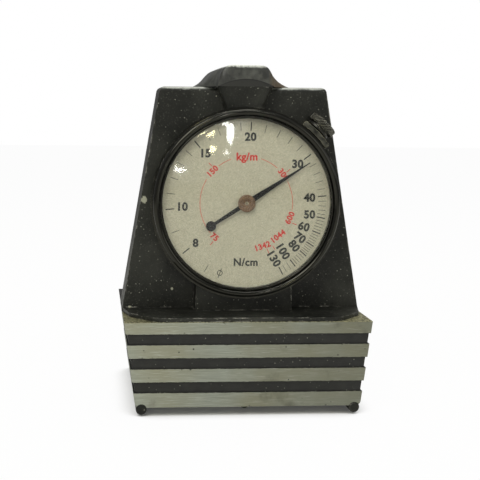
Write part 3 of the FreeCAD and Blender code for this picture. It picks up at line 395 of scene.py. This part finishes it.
# stations from front to back: place along the ridge, share of the loaf, and share of the height
FRONT, BACK, STEP = ridge_low.y, ridge_high.y, ridge_low.y + 0.0059
ALONG = ((FRONT, 0, 0), (FRONT, 0, 0.92), (FRONT + 0.0002, 0, 0.97), (FRONT + 0.0006, 0, 1),
         (STEP - 0.0040, 0.02, 1), (STEP - 0.0026, 0.08, 1), (STEP - 0.0014, 0.18, 1),
         (STEP - 0.0003, 0.34, 1), (STEP + 0.0009, 0.58, 1), (STEP + 0.0020, 0.80, 1),
         (STEP + 0.0032, 0.94, 1), (STEP + 0.0046, 0.99, 1), (STEP + 0.0065, 1, 1),
         (BACK - 0.0010, 1, 1), (BACK - 0.0003, 1, 0.97), (BACK, 1, 0.9), (BACK, 1, 0))
ACROSS = 2 * len(LOAF)
nothing_selected()
bpy.ops.mesh.primitive_grid_add(x_subdivisions=ACROSS - 1, y_subdivisions=len(ALONG) - 1, size=1)
loaf = bpy.context.object
loaf.name = "ridge_loaf"
for count, vertex in enumerate(loaf.data.vertices):
    row, column = divmod(count, ACROSS)
    station, wide, tall = ALONG[row]
    nth = min(column, ACROSS - 1 - column)
    side = -1 if column < len(LOAF) else 1
    half = NOSE[nth][0] * (1 - wide) + LOAF[nth][0] * wide
    rise = NOSE[nth][1] * (1 - wide) + LOAF[nth][1] * wide
    vertex.co = (side * half / 1000, station, ridge_low.z + rise / 1000 * tall)
close_up()
smooth(loaf, 50)
loaf.data.materials.append(ridge_metal)
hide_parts("top_ridge")
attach(loaf, "housing")


# Base block: sawn and brushed aluminium, screwed under the castings. Three grooves round it are painted
# black, the four bands between them are bare, and so are the ledge's corners beside the housing's apron.
TOP_BAND, GROOVE_TALL, BAND_STEP = 0.0035, 0.0031, 0.007
PAINT_LOWER, PAINT_WIDER, PAINT_WANDER = 0.0002, 0.00006, 0.0004
block_low, block_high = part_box("base_block")
block_metal, block_shader, block_tree = finish_of("banded_aluminium", (0.4, 0.41, 0.33), 0.46, 0.5)
block_place = parts_of_place(block_tree)
block_level = maths(block_tree, "ADD", block_place[2],
                    maths(block_tree, "MULTIPLY", noise_of(block_tree, 500, 3.0), PAINT_WANDER))
painted = 0.0
for groove in range(3):
    middle = block_high.z - TOP_BAND - GROOVE_TALL / 2 - groove * BAND_STEP + PAINT_LOWER
    in_groove = maths(block_tree, "COMPARE", block_level, middle, GROOVE_TALL / 2 + PAINT_WIDER)
    painted = maths(block_tree, "MAXIMUM", painted, in_groove)
block_streaks = clouds(block_tree, 420, 0.25, 0.8, 5.0, (0.25, 0.25, 6.0))
block_scratches = noise_of(block_tree, 1300, 3.0, (0.16, 0.16, 4.0))
brushed = blend_colours(block_tree, block_streaks, (0.265, 0.283, 0.236), (0.455, 0.487, 0.417))
aged = blend_colours(block_tree, clouds(block_tree, 28, 0.4, 0.62, 3.0), brushed, (0.322, 0.322, 0.236))
scratched = blend_colours(block_tree, between(block_tree, block_scratches, 0.54, 0.8), aged,
                          (0.6, 0.61, 0.54))
stained = blend_colours(block_tree, clouds(block_tree, 90, 0.61, 0.8, 6.0), scratched, (0.13, 0.125, 0.09))
# the bands are painted darker more and more towards the right: a painted shade, with noise in its edge
block_shade_rightward = maths(block_tree, "MULTIPLY_ADD", noise_of(block_tree, 45), 0.03, block_place[0])
shaded_rightward = blend_colours(block_tree, between(block_tree, block_shade_rightward, -0.018, 0.052, 0.0, 0.5), stained,
                       (0.06, 0.062, 0.043))
block_pits = use_group(block_tree, speck_group, Scale=700, Size=0.2, Share=0.12)
pitted = blend_colours(block_tree, block_pits, shaded_rightward, (0.05, 0.05, 0.04))
# the ledge is gritty, and behind the housing's face it is black
ledge_grit = blend_colours(block_tree, clouds(block_tree, 1500, 0.44, 0.56), (0.09, 0.085, 0.045),
                           (0.42, 0.40, 0.23))
ledge_black_behind_face = blend_colours(block_tree, between(block_tree, block_place[1], FACE - 0.0025, FACE - 0.0005),
                              ledge_grit, (0.02, 0.02, 0.016))
on_ledge = between(block_tree, block_place[2], block_high.z - 0.00015, block_high.z - 0.00005)
bare_metal = blend_colours(block_tree, on_ledge, pitted, ledge_black_behind_face)
groove_dusty = blend_colours(block_tree, clouds(block_tree, 300, 0.4, 0.7), (0.0055, 0.0058, 0.0045),
                             (0.0125, 0.013, 0.0105))
groove_dots = use_group(block_tree, speck_group, Scale=1300, Size=0.17, Share=0.2)
groove_paint = blend_colours(block_tree, groove_dots, groove_dusty, (0.32, 0.32, 0.26))
feed(block_shader, Base_Color=blend_colours(block_tree, painted, bare_metal, groove_paint),
     Metallic=between(block_tree, painted, 0.0, 1.0, 0.55, 0.0),
     Roughness=between(block_tree, block_scratches, 0.3, 0.7, 0.36, 0.6))
bumpy(block_shader, block_scratches, 0.35, 0.00015)
cover(("base_block",), block_metal)


# Rails and measuring bar: ground steel rods, blackened, and rubbed bright where they rest. The rails lie
# in grooves under the block, and the bar between them hangs on its sprung carrier.
rod_black = sprayed_paint("blackened_rod", 0.2, 0.0006, 0.1, 0.35)
cover(("support_rail_left", "support_rail_right", "measuring_bar"), rod_black)


# The pieces inside: arbors, pinions, screws and springs of turned or drawn steel, and wheels, plates and
# bushings of brass. They show only where the meter is taken apart.
def turned_metal(name, dark, light, rough, grain):
    material, shader, tree = finish_of(name, light, rough, 1.0)
    feed(shader, Base_Color=blend_colours(tree, clouds(tree, grain, 0.35, 0.68, 5.0, (1, 4, 1)), dark, light))
    bumpy(shader, noise_of(tree, grain * 3), 0.15, 0.0001)
    return material


steel = turned_metal("turned_steel", (0.3, 0.3, 0.3), (0.62, 0.62, 0.63), 0.32, 700)
brass = turned_metal("stamped_brass", (0.45, 0.31, 0.12), (0.78, 0.6, 0.3), 0.34, 600)
cover(("base_screws", "housing_screws", "ridge_screws", "bar_carrier", "guide_pins", "load_springs", "stem",
       "movement_screws", "drive_arbor", "rack_pinion", "centre_pinion", "take_up_arbor", "hairspring",
       "spindle"), steel)
cover(("guide_bushings", "front_plate", "bridge_plate", "back_plate", "movement_pillars", "spindle_guide",
       "drive_wheel", "take_up_wheel", "hairspring_stud"), brass)


# Load springs: two round-wire coils on the guide pins, pressed between the carrier and the bushings.
# In the meter they shorten with the bar, their feet going with it and their heads staying in the block; these
# coils keep one length.
def joined(pieces, name):
    """Pieces joined into one."""
    nothing_selected()
    for piece in pieces:
        piece.select_set(True)
    bpy.context.view_layer.objects.active = pieces[0]
    bpy.ops.object.join()
    whole = bpy.context.object
    whole.name = name
    return whole


coil_low, coil_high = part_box("load_springs")
COIL_TURNS, COIL_WIRE, COIL_ASIDE = 6, 0.00035, 0.015
COIL_RADIUS = (coil_high.x - coil_low.x) / 2 - COIL_WIRE
COIL_TALL = coil_high.z - coil_low.z - 2 * COIL_WIRE
coils = []
for side in (-1, 1):
    nothing_selected()
    bpy.ops.mesh.primitive_circle_add(vertices=10, radius=COIL_WIRE, location=(0, 0, 0),
                                      rotation=(math.radians(90), 0, 0))
    coil = bpy.context.object
    coil.name = "coil_of_spring_wire"
    coil.location = (COIL_RADIUS, 0, 0)
    bpy.ops.object.transform_apply(location=True, rotation=True)
    wound = coil.modifiers.new("wound", "SCREW")
    wound.angle = 2 * math.pi
    wound.iterations = COIL_TURNS
    wound.steps = 24
    wound.screw_offset = COIL_TALL / COIL_TURNS
    bpy.ops.object.modifier_apply(modifier=wound.name)
    close_up(open_ends=True)
    coil.location = (0, side * COIL_ASIDE, coil_low.z + COIL_WIRE)
    bpy.ops.object.transform_apply(location=True)
    smooth(coil, 50)
    coils.append(coil)
springs = joined(coils, "round_wire_springs")
springs.data.materials.append(steel)
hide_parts("load_springs")
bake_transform(springs)


# Bezel: a turned and blacked ring that clips over the indicator's case. Its rim is a bead in front, with a
# groove and a small lip round the glass, and its flange behind has a fine coin edge that fingers turn.
def turned_ring(name, profile, sides, level):
    """A closed ring about a line along Y at a level: a circle drawn out through pairs of radius and station."""
    nothing_selected()
    radius, station = profile[0]
    bpy.ops.mesh.primitive_circle_add(vertices=sides, radius=radius, location=(0, station, level),
                                      rotation=(math.radians(90), 0, 0))
    ring = bpy.context.object
    ring.name = name
    bpy.ops.object.transform_apply(location=True, rotation=True, scale=True)
    bpy.ops.object.mode_set(mode="EDIT")
    bpy.ops.mesh.select_all(action="SELECT")
    for wider, further in profile[1:] + profile[:1]:
        bpy.ops.mesh.extrude_edges_move(TRANSFORM_OT_translate={"value": (0, further - station, 0)})
        grow = wider / radius
        bpy.ops.transform.resize(value=(grow, 1, grow), center_override=(0, further, level))
        radius, station = wider, further
    close_up()
    return ring


def rounded(centre_radius, centre_station, radius, start, end, steps):
    """Points on an arc of the ring's section, from one angle to another."""
    points = []
    for n in range(steps + 1):
        turn = math.radians(start + (end - start) * n / steps)
        points.append((centre_radius + radius * math.cos(turn), centre_station + radius * math.sin(turn)))
    return points


ring_low, ring_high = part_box("bezel_ring")
DIAL_Z = (ring_low.z + ring_high.z) / 2
RING_OUT = (ring_high.x - ring_low.x) / 2
RING_FRONT, RING_BACK = ring_low.y, ring_high.y
WINDOW = 0.0251
BEAD, LIP = 0.00095, 0.00035
GROOVE_FLOOR = RING_FRONT + 0.0012
COIN_TEETH, COIN_STEPS, COIN_DEPTH = 300, 3, 0.0003
FLANGE_FRONT = RING_BACK - 0.0027
rim = [(RING_OUT - COIN_DEPTH, FLANGE_FRONT), (RING_OUT - 0.00075, FLANGE_FRONT)]
rim += rounded(RING_OUT - 0.0017, RING_FRONT + BEAD, BEAD, 0, -165, 14)
rim += [(WINDOW + 0.00083, GROOVE_FLOOR), (WINDOW + 0.00072, GROOVE_FLOOR)]
rim += rounded(WINDOW + LIP, RING_FRONT + 2 * LIP, LIP, 0, -180, 8)
rim += [(WINDOW + 0.0001, GROOVE_FLOOR), (RING_OUT - 0.0030, RING_FRONT + 0.0014),
        (RING_OUT - 0.0024, RING_FRONT + 0.0029), (RING_OUT - 0.0022, RING_BACK),
        (RING_OUT - COIN_DEPTH, RING_BACK)]
bezel = turned_ring("bezel_rim_and_flange", rim, COIN_TEETH * COIN_STEPS, DIAL_Z)
# two of every three corners round the flange stand out, and make a tooth
for vertex in bezel.data.vertices:
    reach = math.hypot(vertex.co.x, vertex.co.z - DIAL_Z)
    if reach > RING_OUT - 0.0005 and vertex.co.y > FLANGE_FRONT - 0.00001:
        turn = math.atan2(vertex.co.x, vertex.co.z - DIAL_Z)
        step = round(turn / (2 * math.pi) * COIN_TEETH * COIN_STEPS) % COIN_STEPS
        grown = (RING_OUT if step != 2 else RING_OUT - COIN_DEPTH) / reach
        vertex.co.x *= grown
        vertex.co.z = DIAL_Z + (vertex.co.z - DIAL_Z) * grown
smooth(bezel, 35)
BLACKED = (0.005, 0.005, 0.004)
bezel_black, bezel_shader, bezel_tree = finish_of("blacked_bezel", BLACKED, 0.1)
bezel_shader.inputs["Specular IOR Level"].default_value = 0.4
bezel_shader.inputs["Specular Tint"].default_value = (1.0, 0.98, 0.84, 1)
bezel_edges = use_group(bezel_tree, edge_group, Width=0.0002, Amount=0.2, Scale=420)
feed(bezel_shader, Base_Color=blend_colours(bezel_tree, bezel_edges, BLACKED, (0.26, 0.25, 0.21)),
     Roughness=between(bezel_tree, noise_of(bezel_tree, 240), 0.3, 0.75, 0.04, 0.1))
bumpy(bezel_shader, noise_of(bezel_tree, 900), 0.03, 0.0001)
bezel.data.materials.append(bezel_black)
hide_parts("bezel_ring")
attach(bezel, "bezel")
cover(("glass_spacer", "clamp_boss"), bezel_black)


# Dial face: a thin sheet printed matt grey-beige, held in the bezel, which it turns with. Its scale is
# printed in black, with a second one in red on a thin ring further in.
face_low, face_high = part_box("dial_face")
FACE_FRONT = face_low.y
dial_paint, dial_shader, dial_tree = finish_of("dial_grey", (0.29, 0.272, 0.2), 0.75)
feed(dial_shader, Base_Color=blend_colours(dial_tree, clouds(dial_tree, 2600, 0.32, 0.7, 3.0),
                                           (0.245, 0.23, 0.168), (0.355, 0.333, 0.247)))
bumpy(dial_shader, noise_of(dial_tree, 2400), 0.08, 0.00005)
cover(("dial_face",), dial_paint)


def ink(name, colour):
    """Printing ink, a little faded in patches."""
    material, shader, tree = finish_of(name, colour, 0.7)
    shader.inputs["Specular IOR Level"].default_value = 0.2
    faded = tuple(channel * 1.4 + 0.008 for channel in colour)
    feed(shader, Base_Color=blend_colours(tree, clouds(tree, 2500, 0.3, 0.9, 3.0), colour, faded))
    return material


black_ink = ink("black_ink", (0.006, 0.007, 0.006))
grey_ink = ink("worn_black_ink", (0.05, 0.048, 0.036))
red_ink = ink("red_ink", (0.34, 0.016, 0.012))
faint_red_ink = ink("faint_red_ink", (0.36, 0.09, 0.06))
INK_LIFT = 0.00003
CAPITALS = 0.73


def clock_place(radius, degrees, station):
    """The point at a clock angle and radius on the dial."""
    turn = math.radians(degrees)
    return (radius * math.sin(turn), station, DIAL_Z + radius * math.cos(turn))


def print_mark(inner, outer, degrees, width, material):
    """One printed stroke along the dial's radius: a thin slab of ink."""
    nothing_selected()
    bpy.ops.mesh.primitive_cube_add(size=1, location=(0, 0, 0))
    mark = bpy.context.object
    mark.scale = (width, INK_LIFT, outer - inner)
    bpy.ops.object.transform_apply(scale=True)
    mark.rotation_euler = (0, math.radians(degrees), 0)
    mark.location = clock_place((inner + outer) / 2, degrees, FACE_FRONT - INK_LIFT / 2)
    bpy.ops.object.transform_apply(location=True, rotation=True)
    mark.data.materials.append(material)
    return mark


def print_word(word, radius, degrees, tall, turn, material, weight=0.0):
    """A printed word: its middle at a clock place, its letters' height, and its own turn."""
    nothing_selected()
    bpy.ops.object.text_add(location=(0, 0, 0))
    text = bpy.context.object
    text.data.body = word
    text.data.align_x = "CENTER"
    text.data.align_y = "CENTER"
    text.data.size = tall / CAPITALS
    text.data.extrude = INK_LIFT / 2
    text.data.offset = weight
    text.data.space_character = 1.06
    text.data.resolution_u = 4
    bpy.ops.object.convert(target="MESH")
    text = bpy.context.object
    text.rotation_euler = (math.radians(90), 0, 0)
    bpy.ops.object.transform_apply(rotation=True)
    text.rotation_euler = (0, math.radians(turn), 0)
    text.location = clock_place(radius, degrees, FACE_FRONT - INK_LIFT / 2)
    bpy.ops.object.transform_apply(location=True, rotation=True)
    text.data.materials.append(material)
    return text


# clock angles of the scale's numbered and plain strokes, by the force that they stand for
SCALE = {7: -148.8, 8: -128.5, 9: -111.9, 10: -94.6, 11: -83, 12: -71.4, 13: -59.7, 14: -49.5, 15: -40.4,
         16: -30.5, 17: -21.5, 18: -13, 19: -4.9, 20: 2.9, 22: 14, 24: 24.6, 26: 34.5, 28: 43.7, 30: 52.6,
         40: 84.6, 50: 100.8, 60: 112.3, 70: 122.3, 80: 131, 100: 141.6, 130: 152.3}
NUMBERED = (8, 10, 15, 20, 30, 40, 50, 60, 70, 80, 100, 130)
STROKE_IN, STROKE_OUT, LONG_STROKE_OUT = 0.0215, 0.0239, 0.0241
black_marks = []
for force, degrees in SCALE.items():
    if force in NUMBERED:
        black_marks.append(print_mark(STROKE_IN, LONG_STROKE_OUT, degrees, 0.00032, black_ink))
    else:
        black_marks.append(print_mark(STROKE_IN, STROKE_OUT, degrees, 0.0002, grey_ink))
# fine strokes between two forces: how many parts they make, and how far they crowd towards the upper one
for low, high, parts, crowd in ((30, 40, 5, 0.22), (40, 50, 5, 0.22), (50, 60, 5, 0.08), (60, 70, 5, 0.08),
                                (70, 80, 5, 0.08), (80, 100, 5, 0.08), (100, 130, 3, 0.08)):
    for n in range(1, parts):
        share = n / parts
        bend = crowd * share * (1 - share)
        degrees = SCALE[low] + (SCALE[high] - SCALE[low]) * (share + bend)
        black_marks.append(print_mark(STROKE_IN + 0.0001, STROKE_OUT, degrees, 0.00016, grey_ink))
# number, radius, clock angle and own turn
NUMBERS = (("8", 0.0192, -128.5, 0), ("10", 0.0192, -93.5, 0), ("15", 0.0192, -40.4, 0),
           ("20", 0.0196, 2.9, 0), ("30", 0.0191, 52.6, 0), ("40", 0.0190, 85.2, 0),
           ("50", 0.0193, 100.3, 0), ("60", 0.0187, 112.2, 15), ("70", 0.0192, 122.6, 35),
           ("80", 0.0193, 131.6, 50), ("100", 0.0181, 142.4, 57), ("130", 0.0185, 153.2, 58))
NUMBER_TALL, UNIT_TALL, RED_TALL = 0.0024, 0.0023, 0.00175
for word, radius, degrees, turn in NUMBERS:
    black_marks.append(print_word(word, radius, degrees, NUMBER_TALL, turn, black_ink, 0.00014))
black_marks.append(print_word("N/cm", 0.0177, 180, UNIT_TALL, 0, black_ink, 0.0001))
# the calibration mark is a small ring with an upright stroke through it
CALIBRATION = 200.3
nothing_selected()
bpy.ops.mesh.primitive_torus_add(major_radius=0.00075, minor_radius=0.00011, major_segments=24,
                                 minor_segments=6, location=clock_place(0.0222, CALIBRATION, FACE_FRONT),
                                 rotation=(math.radians(90), 0, 0))
ring_mark = bpy.context.object
ring_mark.scale = (1, 1, 0.15)
bpy.ops.object.transform_apply(location=True, rotation=True, scale=True)
ring_mark.data.materials.append(black_ink)
black_marks.append(ring_mark)
black_marks.append(print_mark(0.0208, STROKE_OUT, CALIBRATION, 0.0002, black_ink))
black_print = joined(black_marks, "dial_black_print")
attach(black_print, "bezel")

# red scale: number, its clock angle and its turn; each has a short stroke outside the ring
RED_RING = 0.01384
red_marks = []
for word, degrees, turn in (("75", -137, 40), ("150", -47.5, -45), ("300", 52, 52), ("600", 108.5, -65),
                            ("1044", 136, -38), ("1342", 159, -20)):
    red_marks.append(print_word(word, RED_RING, degrees, RED_TALL, turn, red_ink, 0.00009))
for degrees in (-139.4, -43.6, 52, 113, 147.6, 155):
    red_marks.append(print_mark(RED_RING + 0.0012, RED_RING + 0.0026, degrees, 0.0002, red_ink))
red_marks.append(print_word("kg/m", 0.0137, 0, UNIT_TALL, 0, red_ink, 0.0001))
# stretches of the thin red ring between its numbers, in short strokes that lap
for start, end in ((-130, -59), (-37, -20), (18, 41), (62, 99)):
    steps = max(2, round((end - start) / 4))
    for n in range(steps):
        middle = start + (end - start) * (n + 0.5) / steps
        length = RED_RING * math.radians((end - start) / steps) * 1.06
        red_marks.append(print_mark(RED_RING - 0.0001, RED_RING + 0.0001, middle, length, faint_red_ink))
red_print = joined(red_marks, "dial_red_print")
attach(red_print, "bezel")


# Pointer: a stamped hand with a round tail, painted black, under a turned copper collar. Both are pressed on
# the centre arbor, whose end in the collar is slotted for a screwdriver; the slot is only a dark line of
# painted shade.
pointer_paint, pointer_shader, pointer_tree = finish_of("pointer_black_paint", (0.004, 0.004, 0.004), 0.6)
pointer_shader.inputs["Specular IOR Level"].default_value = 0.15
feed(pointer_shader, Roughness=between(pointer_tree, noise_of(pointer_tree, 900), 0.3, 0.7, 0.5, 0.7))
cover(("pointer",), pointer_paint)
hub_low, hub_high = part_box("pointer_hub")
HUB_OUT, HUB_BORE, HUB_DISH = (hub_high.x - hub_low.x) / 2, 0.0005, hub_low.y + 0.0001
hub = turned_ring("copper_hub", [(HUB_BORE, hub_high.y), (HUB_OUT, hub_high.y), (HUB_OUT, hub_low.y + 0.00016),
                                 (HUB_OUT - 0.00008, hub_low.y + 0.00005), (HUB_OUT - 0.0002, hub_low.y),
                                 (0.0012, hub_low.y), (0.0010, HUB_DISH), (HUB_BORE, HUB_DISH)], 64, DIAL_Z)
smooth(hub, 30)
copper, copper_shader, copper_tree = finish_of("turned_copper", (0.16, 0.08, 0.038), 0.5, 0.35)
feed(copper_shader, Base_Color=blend_colours(copper_tree, clouds(copper_tree, 1200, 0.35, 0.7, 5.0),
                                             (0.055, 0.027, 0.012), (0.145, 0.08, 0.034)))
bumpy(copper_shader, noise_of(copper_tree, 2600), 0.2, 0.00005)
hub.data.materials.append(copper)
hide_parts("pointer_hub")
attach(hub, "pointer_arbor")
SLOT_HALF = 0.00013
slotted_steel, slotted_shader, slotted_tree = finish_of("slotted_arbor", (0.3, 0.27, 0.18), 0.5, 0.5)
# the slot is painted as a dark line, the shade in it
slot_shade_line = maths(slotted_tree, "COMPARE", parts_of_place(slotted_tree)[0], 0.0, SLOT_HALF)
slotted_tone = blend_colours(slotted_tree, clouds(slotted_tree, 1500, 0.3, 0.7), (0.16, 0.14, 0.09),
                             (0.34, 0.31, 0.22))
feed(slotted_shader, Base_Color=blend_colours(slotted_tree, slot_shade_line, slotted_tone,
                                              (0.01, 0.008, 0.006)))
cover(("centre_arbor",), slotted_steel)


# Crystal: a domed window of clear acrylic, its flat edge sprung in under the bezel's rim. Shadows pass
# through it, so that the dial under it is lit.
glass_low, glass_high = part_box("crystal")
GLASS_OUT = (glass_high.x - glass_low.x) / 2
GLASS_TALL = glass_high.y - glass_low.y
GLASS_WALL, DOME_STEPS = 0.0006, 16
dome = []
for n in range(DOME_STEPS + 1):
    share = n / DOME_STEPS
    dome.append((max(WINDOW * share, 0.00001), glass_low.y + (GLASS_TALL - GLASS_WALL) * share ** 2))
hollow = [(radius, station + GLASS_WALL) for radius, station in reversed(dome)]
crystal = turned_ring("domed_crystal", dome + [(GLASS_OUT, glass_high.y - GLASS_WALL),
                                               (GLASS_OUT, glass_high.y)] + hollow, 96, DIAL_Z)
smooth(crystal, 30)
acrylic, acrylic_shader, acrylic_tree = finish_of("clear_acrylic", (0.97, 0.98, 0.965), 0.015)
acrylic_shader.inputs["Transmission Weight"].default_value = 1.0
acrylic_shader.inputs["IOR"].default_value = 1.35
feed(acrylic_shader, Roughness=between(acrylic_tree, noise_of(acrylic_tree, 300), 0.3, 0.8, 0.03, 0.045))
acrylic_path = add_node(acrylic_tree, "ShaderNodeLightPath")
acrylic_clear = add_node(acrylic_tree, "ShaderNodeBsdfTransparent")
acrylic_mix = add_node(acrylic_tree, "ShaderNodeMixShader", acrylic_path.outputs["Is Shadow Ray"],
                       acrylic_shader.outputs[0], acrylic_clear.outputs[0])
feed(acrylic_tree.nodes["Material Output"], Surface=acrylic_mix.outputs[0])
crystal.data.materials.append(acrylic)
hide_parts("crystal")
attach(crystal, "bezel")


# Bezel clamp: a blacked screw with a diamond knurl on a collar, in a boss on the case. It presses a curved
# steel shoe on the coin edge. Both are bright where fingers and the ring have rubbed them, and their pale tips
# and patches are partly painted highlights.
SHANK, COLLAR, DRUM = 0.0010, 0.0037, 0.0044
SHANK_TIP, COLLAR_NEAR, DRUM_NEAR, DRUM_FAR = 0.02717, 0.0305, 0.0319, 0.0340
KNURLS, KNURL_ROWS, KNURL_FRONT, KNURL_BACK, KNURL_DEPTH = 40, 6, 0.0321, 0.0338, 0.0003
SCREW_LEAN = 45
section = [(0.0002, SHANK_TIP), (SHANK, SHANK_TIP), (SHANK, COLLAR_NEAR), (COLLAR - 0.0003, COLLAR_NEAR),
           (COLLAR, COLLAR_NEAR + 0.0002), (COLLAR, COLLAR_NEAR + 0.0008),
           (COLLAR - 0.0006, COLLAR_NEAR + 0.0011), (COLLAR - 0.0006, DRUM_NEAR),
           (DRUM - KNURL_DEPTH, DRUM_NEAR)]
for row in range(KNURL_ROWS):
    section.append((DRUM, KNURL_FRONT + (KNURL_BACK - KNURL_FRONT) * row / (KNURL_ROWS - 1)))
section += [(DRUM - KNURL_DEPTH, DRUM_FAR), (0.0002, DRUM_FAR)]
knob = turned_ring("knurled_knob", section, KNURLS * 2, 0.0)
# every other corner of the drum is sunk, which leaves the diamonds' tips
for vertex in knob.data.vertices:
    if math.hypot(vertex.co.x, vertex.co.z) > DRUM - 0.00001:
        row = round((vertex.co.y - KNURL_FRONT) / (KNURL_BACK - KNURL_FRONT) * (KNURL_ROWS - 1))
        column = round(math.atan2(vertex.co.x, vertex.co.z) / math.pi * KNURLS)
        if (row + column) % 2:
            vertex.co.x *= 1 - KNURL_DEPTH / DRUM
            vertex.co.z *= 1 - KNURL_DEPTH / DRUM
nothing_selected()
knob.select_set(True)
bpy.context.view_layer.objects.active = knob
knob_low, knob_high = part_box("clamp_knob")
SCREW_Y = (knob_low.y + knob_high.y) / 2
knob.rotation_euler = (math.radians(90), math.radians(SCREW_LEAN), 0)
knob.location = (0, SCREW_Y, DIAL_Z)
bpy.ops.object.transform_apply(location=True, rotation=True)
clamp_steel, clamp_shader, clamp_tree = finish_of("blacked_steel", (0.03, 0.03, 0.026), 0.3, 0.6)
clamp_tone = blend_colours(clamp_tree, clouds(clamp_tree, 700, 0.35, 0.7), (0.010, 0.010, 0.008),
                           (0.035, 0.035, 0.028))
clamp_edges = use_group(clamp_tree, edge_group, Width=0.00018, Amount=0.26, Scale=900)
clamp_worn = blend_colours(clamp_tree, clamp_edges, clamp_tone, (0.55, 0.52, 0.4))
# the knurl's tips are pale, partly rubbed bright and partly a painted highlight: how far each place is from the
# screw's axis picks them out
clamp_place = parts_of_place(clamp_tree)
clamp_side = maths(clamp_tree, "MULTIPLY_ADD", maths(clamp_tree, "SUBTRACT", clamp_place[0], clamp_place[2]),
                   math.sqrt(0.5), DIAL_Z * math.sqrt(0.5))
clamp_deep = maths(clamp_tree, "SUBTRACT", clamp_place[1], SCREW_Y)
clamp_reach = add_node(clamp_tree, "ShaderNodeCombineXYZ", clamp_side, clamp_deep)
clamp_far = vectors(clamp_tree, "LENGTH", clamp_reach.outputs[0])
clamp_tips_worn_and_lit = between(clamp_tree, clamp_far, DRUM - 0.00008, DRUM - 0.00002)
feed(clamp_shader, Base_Color=blend_colours(clamp_tree, clamp_tips_worn_and_lit, clamp_worn, (0.6, 0.59, 0.5)))
bumpy(clamp_shader, noise_of(clamp_tree, 1500), 0.12, 0.0001)
knob.data.materials.append(clamp_steel)
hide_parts("clamp_knob")
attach(knob, "clamp_screw")
shoe_steel, shoe_shader, shoe_tree = finish_of("rubbed_shoe_steel", (0.1, 0.1, 0.085), 0.24, 0.75)
# the shoe's paler patches are partly rubbed steel and partly a painted highlight
shoe_tone_and_sheen = blend_colours(shoe_tree, clouds(shoe_tree, 420, 0.4, 0.7, 5.0), (0.03, 0.031, 0.026),
                          (0.2, 0.195, 0.155))
shoe_edges = use_group(shoe_tree, edge_group, Width=0.0002, Amount=0.34, Scale=500)
feed(shoe_shader, Base_Color=blend_colours(shoe_tree, shoe_edges, shoe_tone_and_sheen, (0.6, 0.56, 0.4)))
bumpy(shoe_shader, noise_of(shoe_tree, 1300), 0.12, 0.0001)
cover(("clamp_shoe",), shoe_steel)
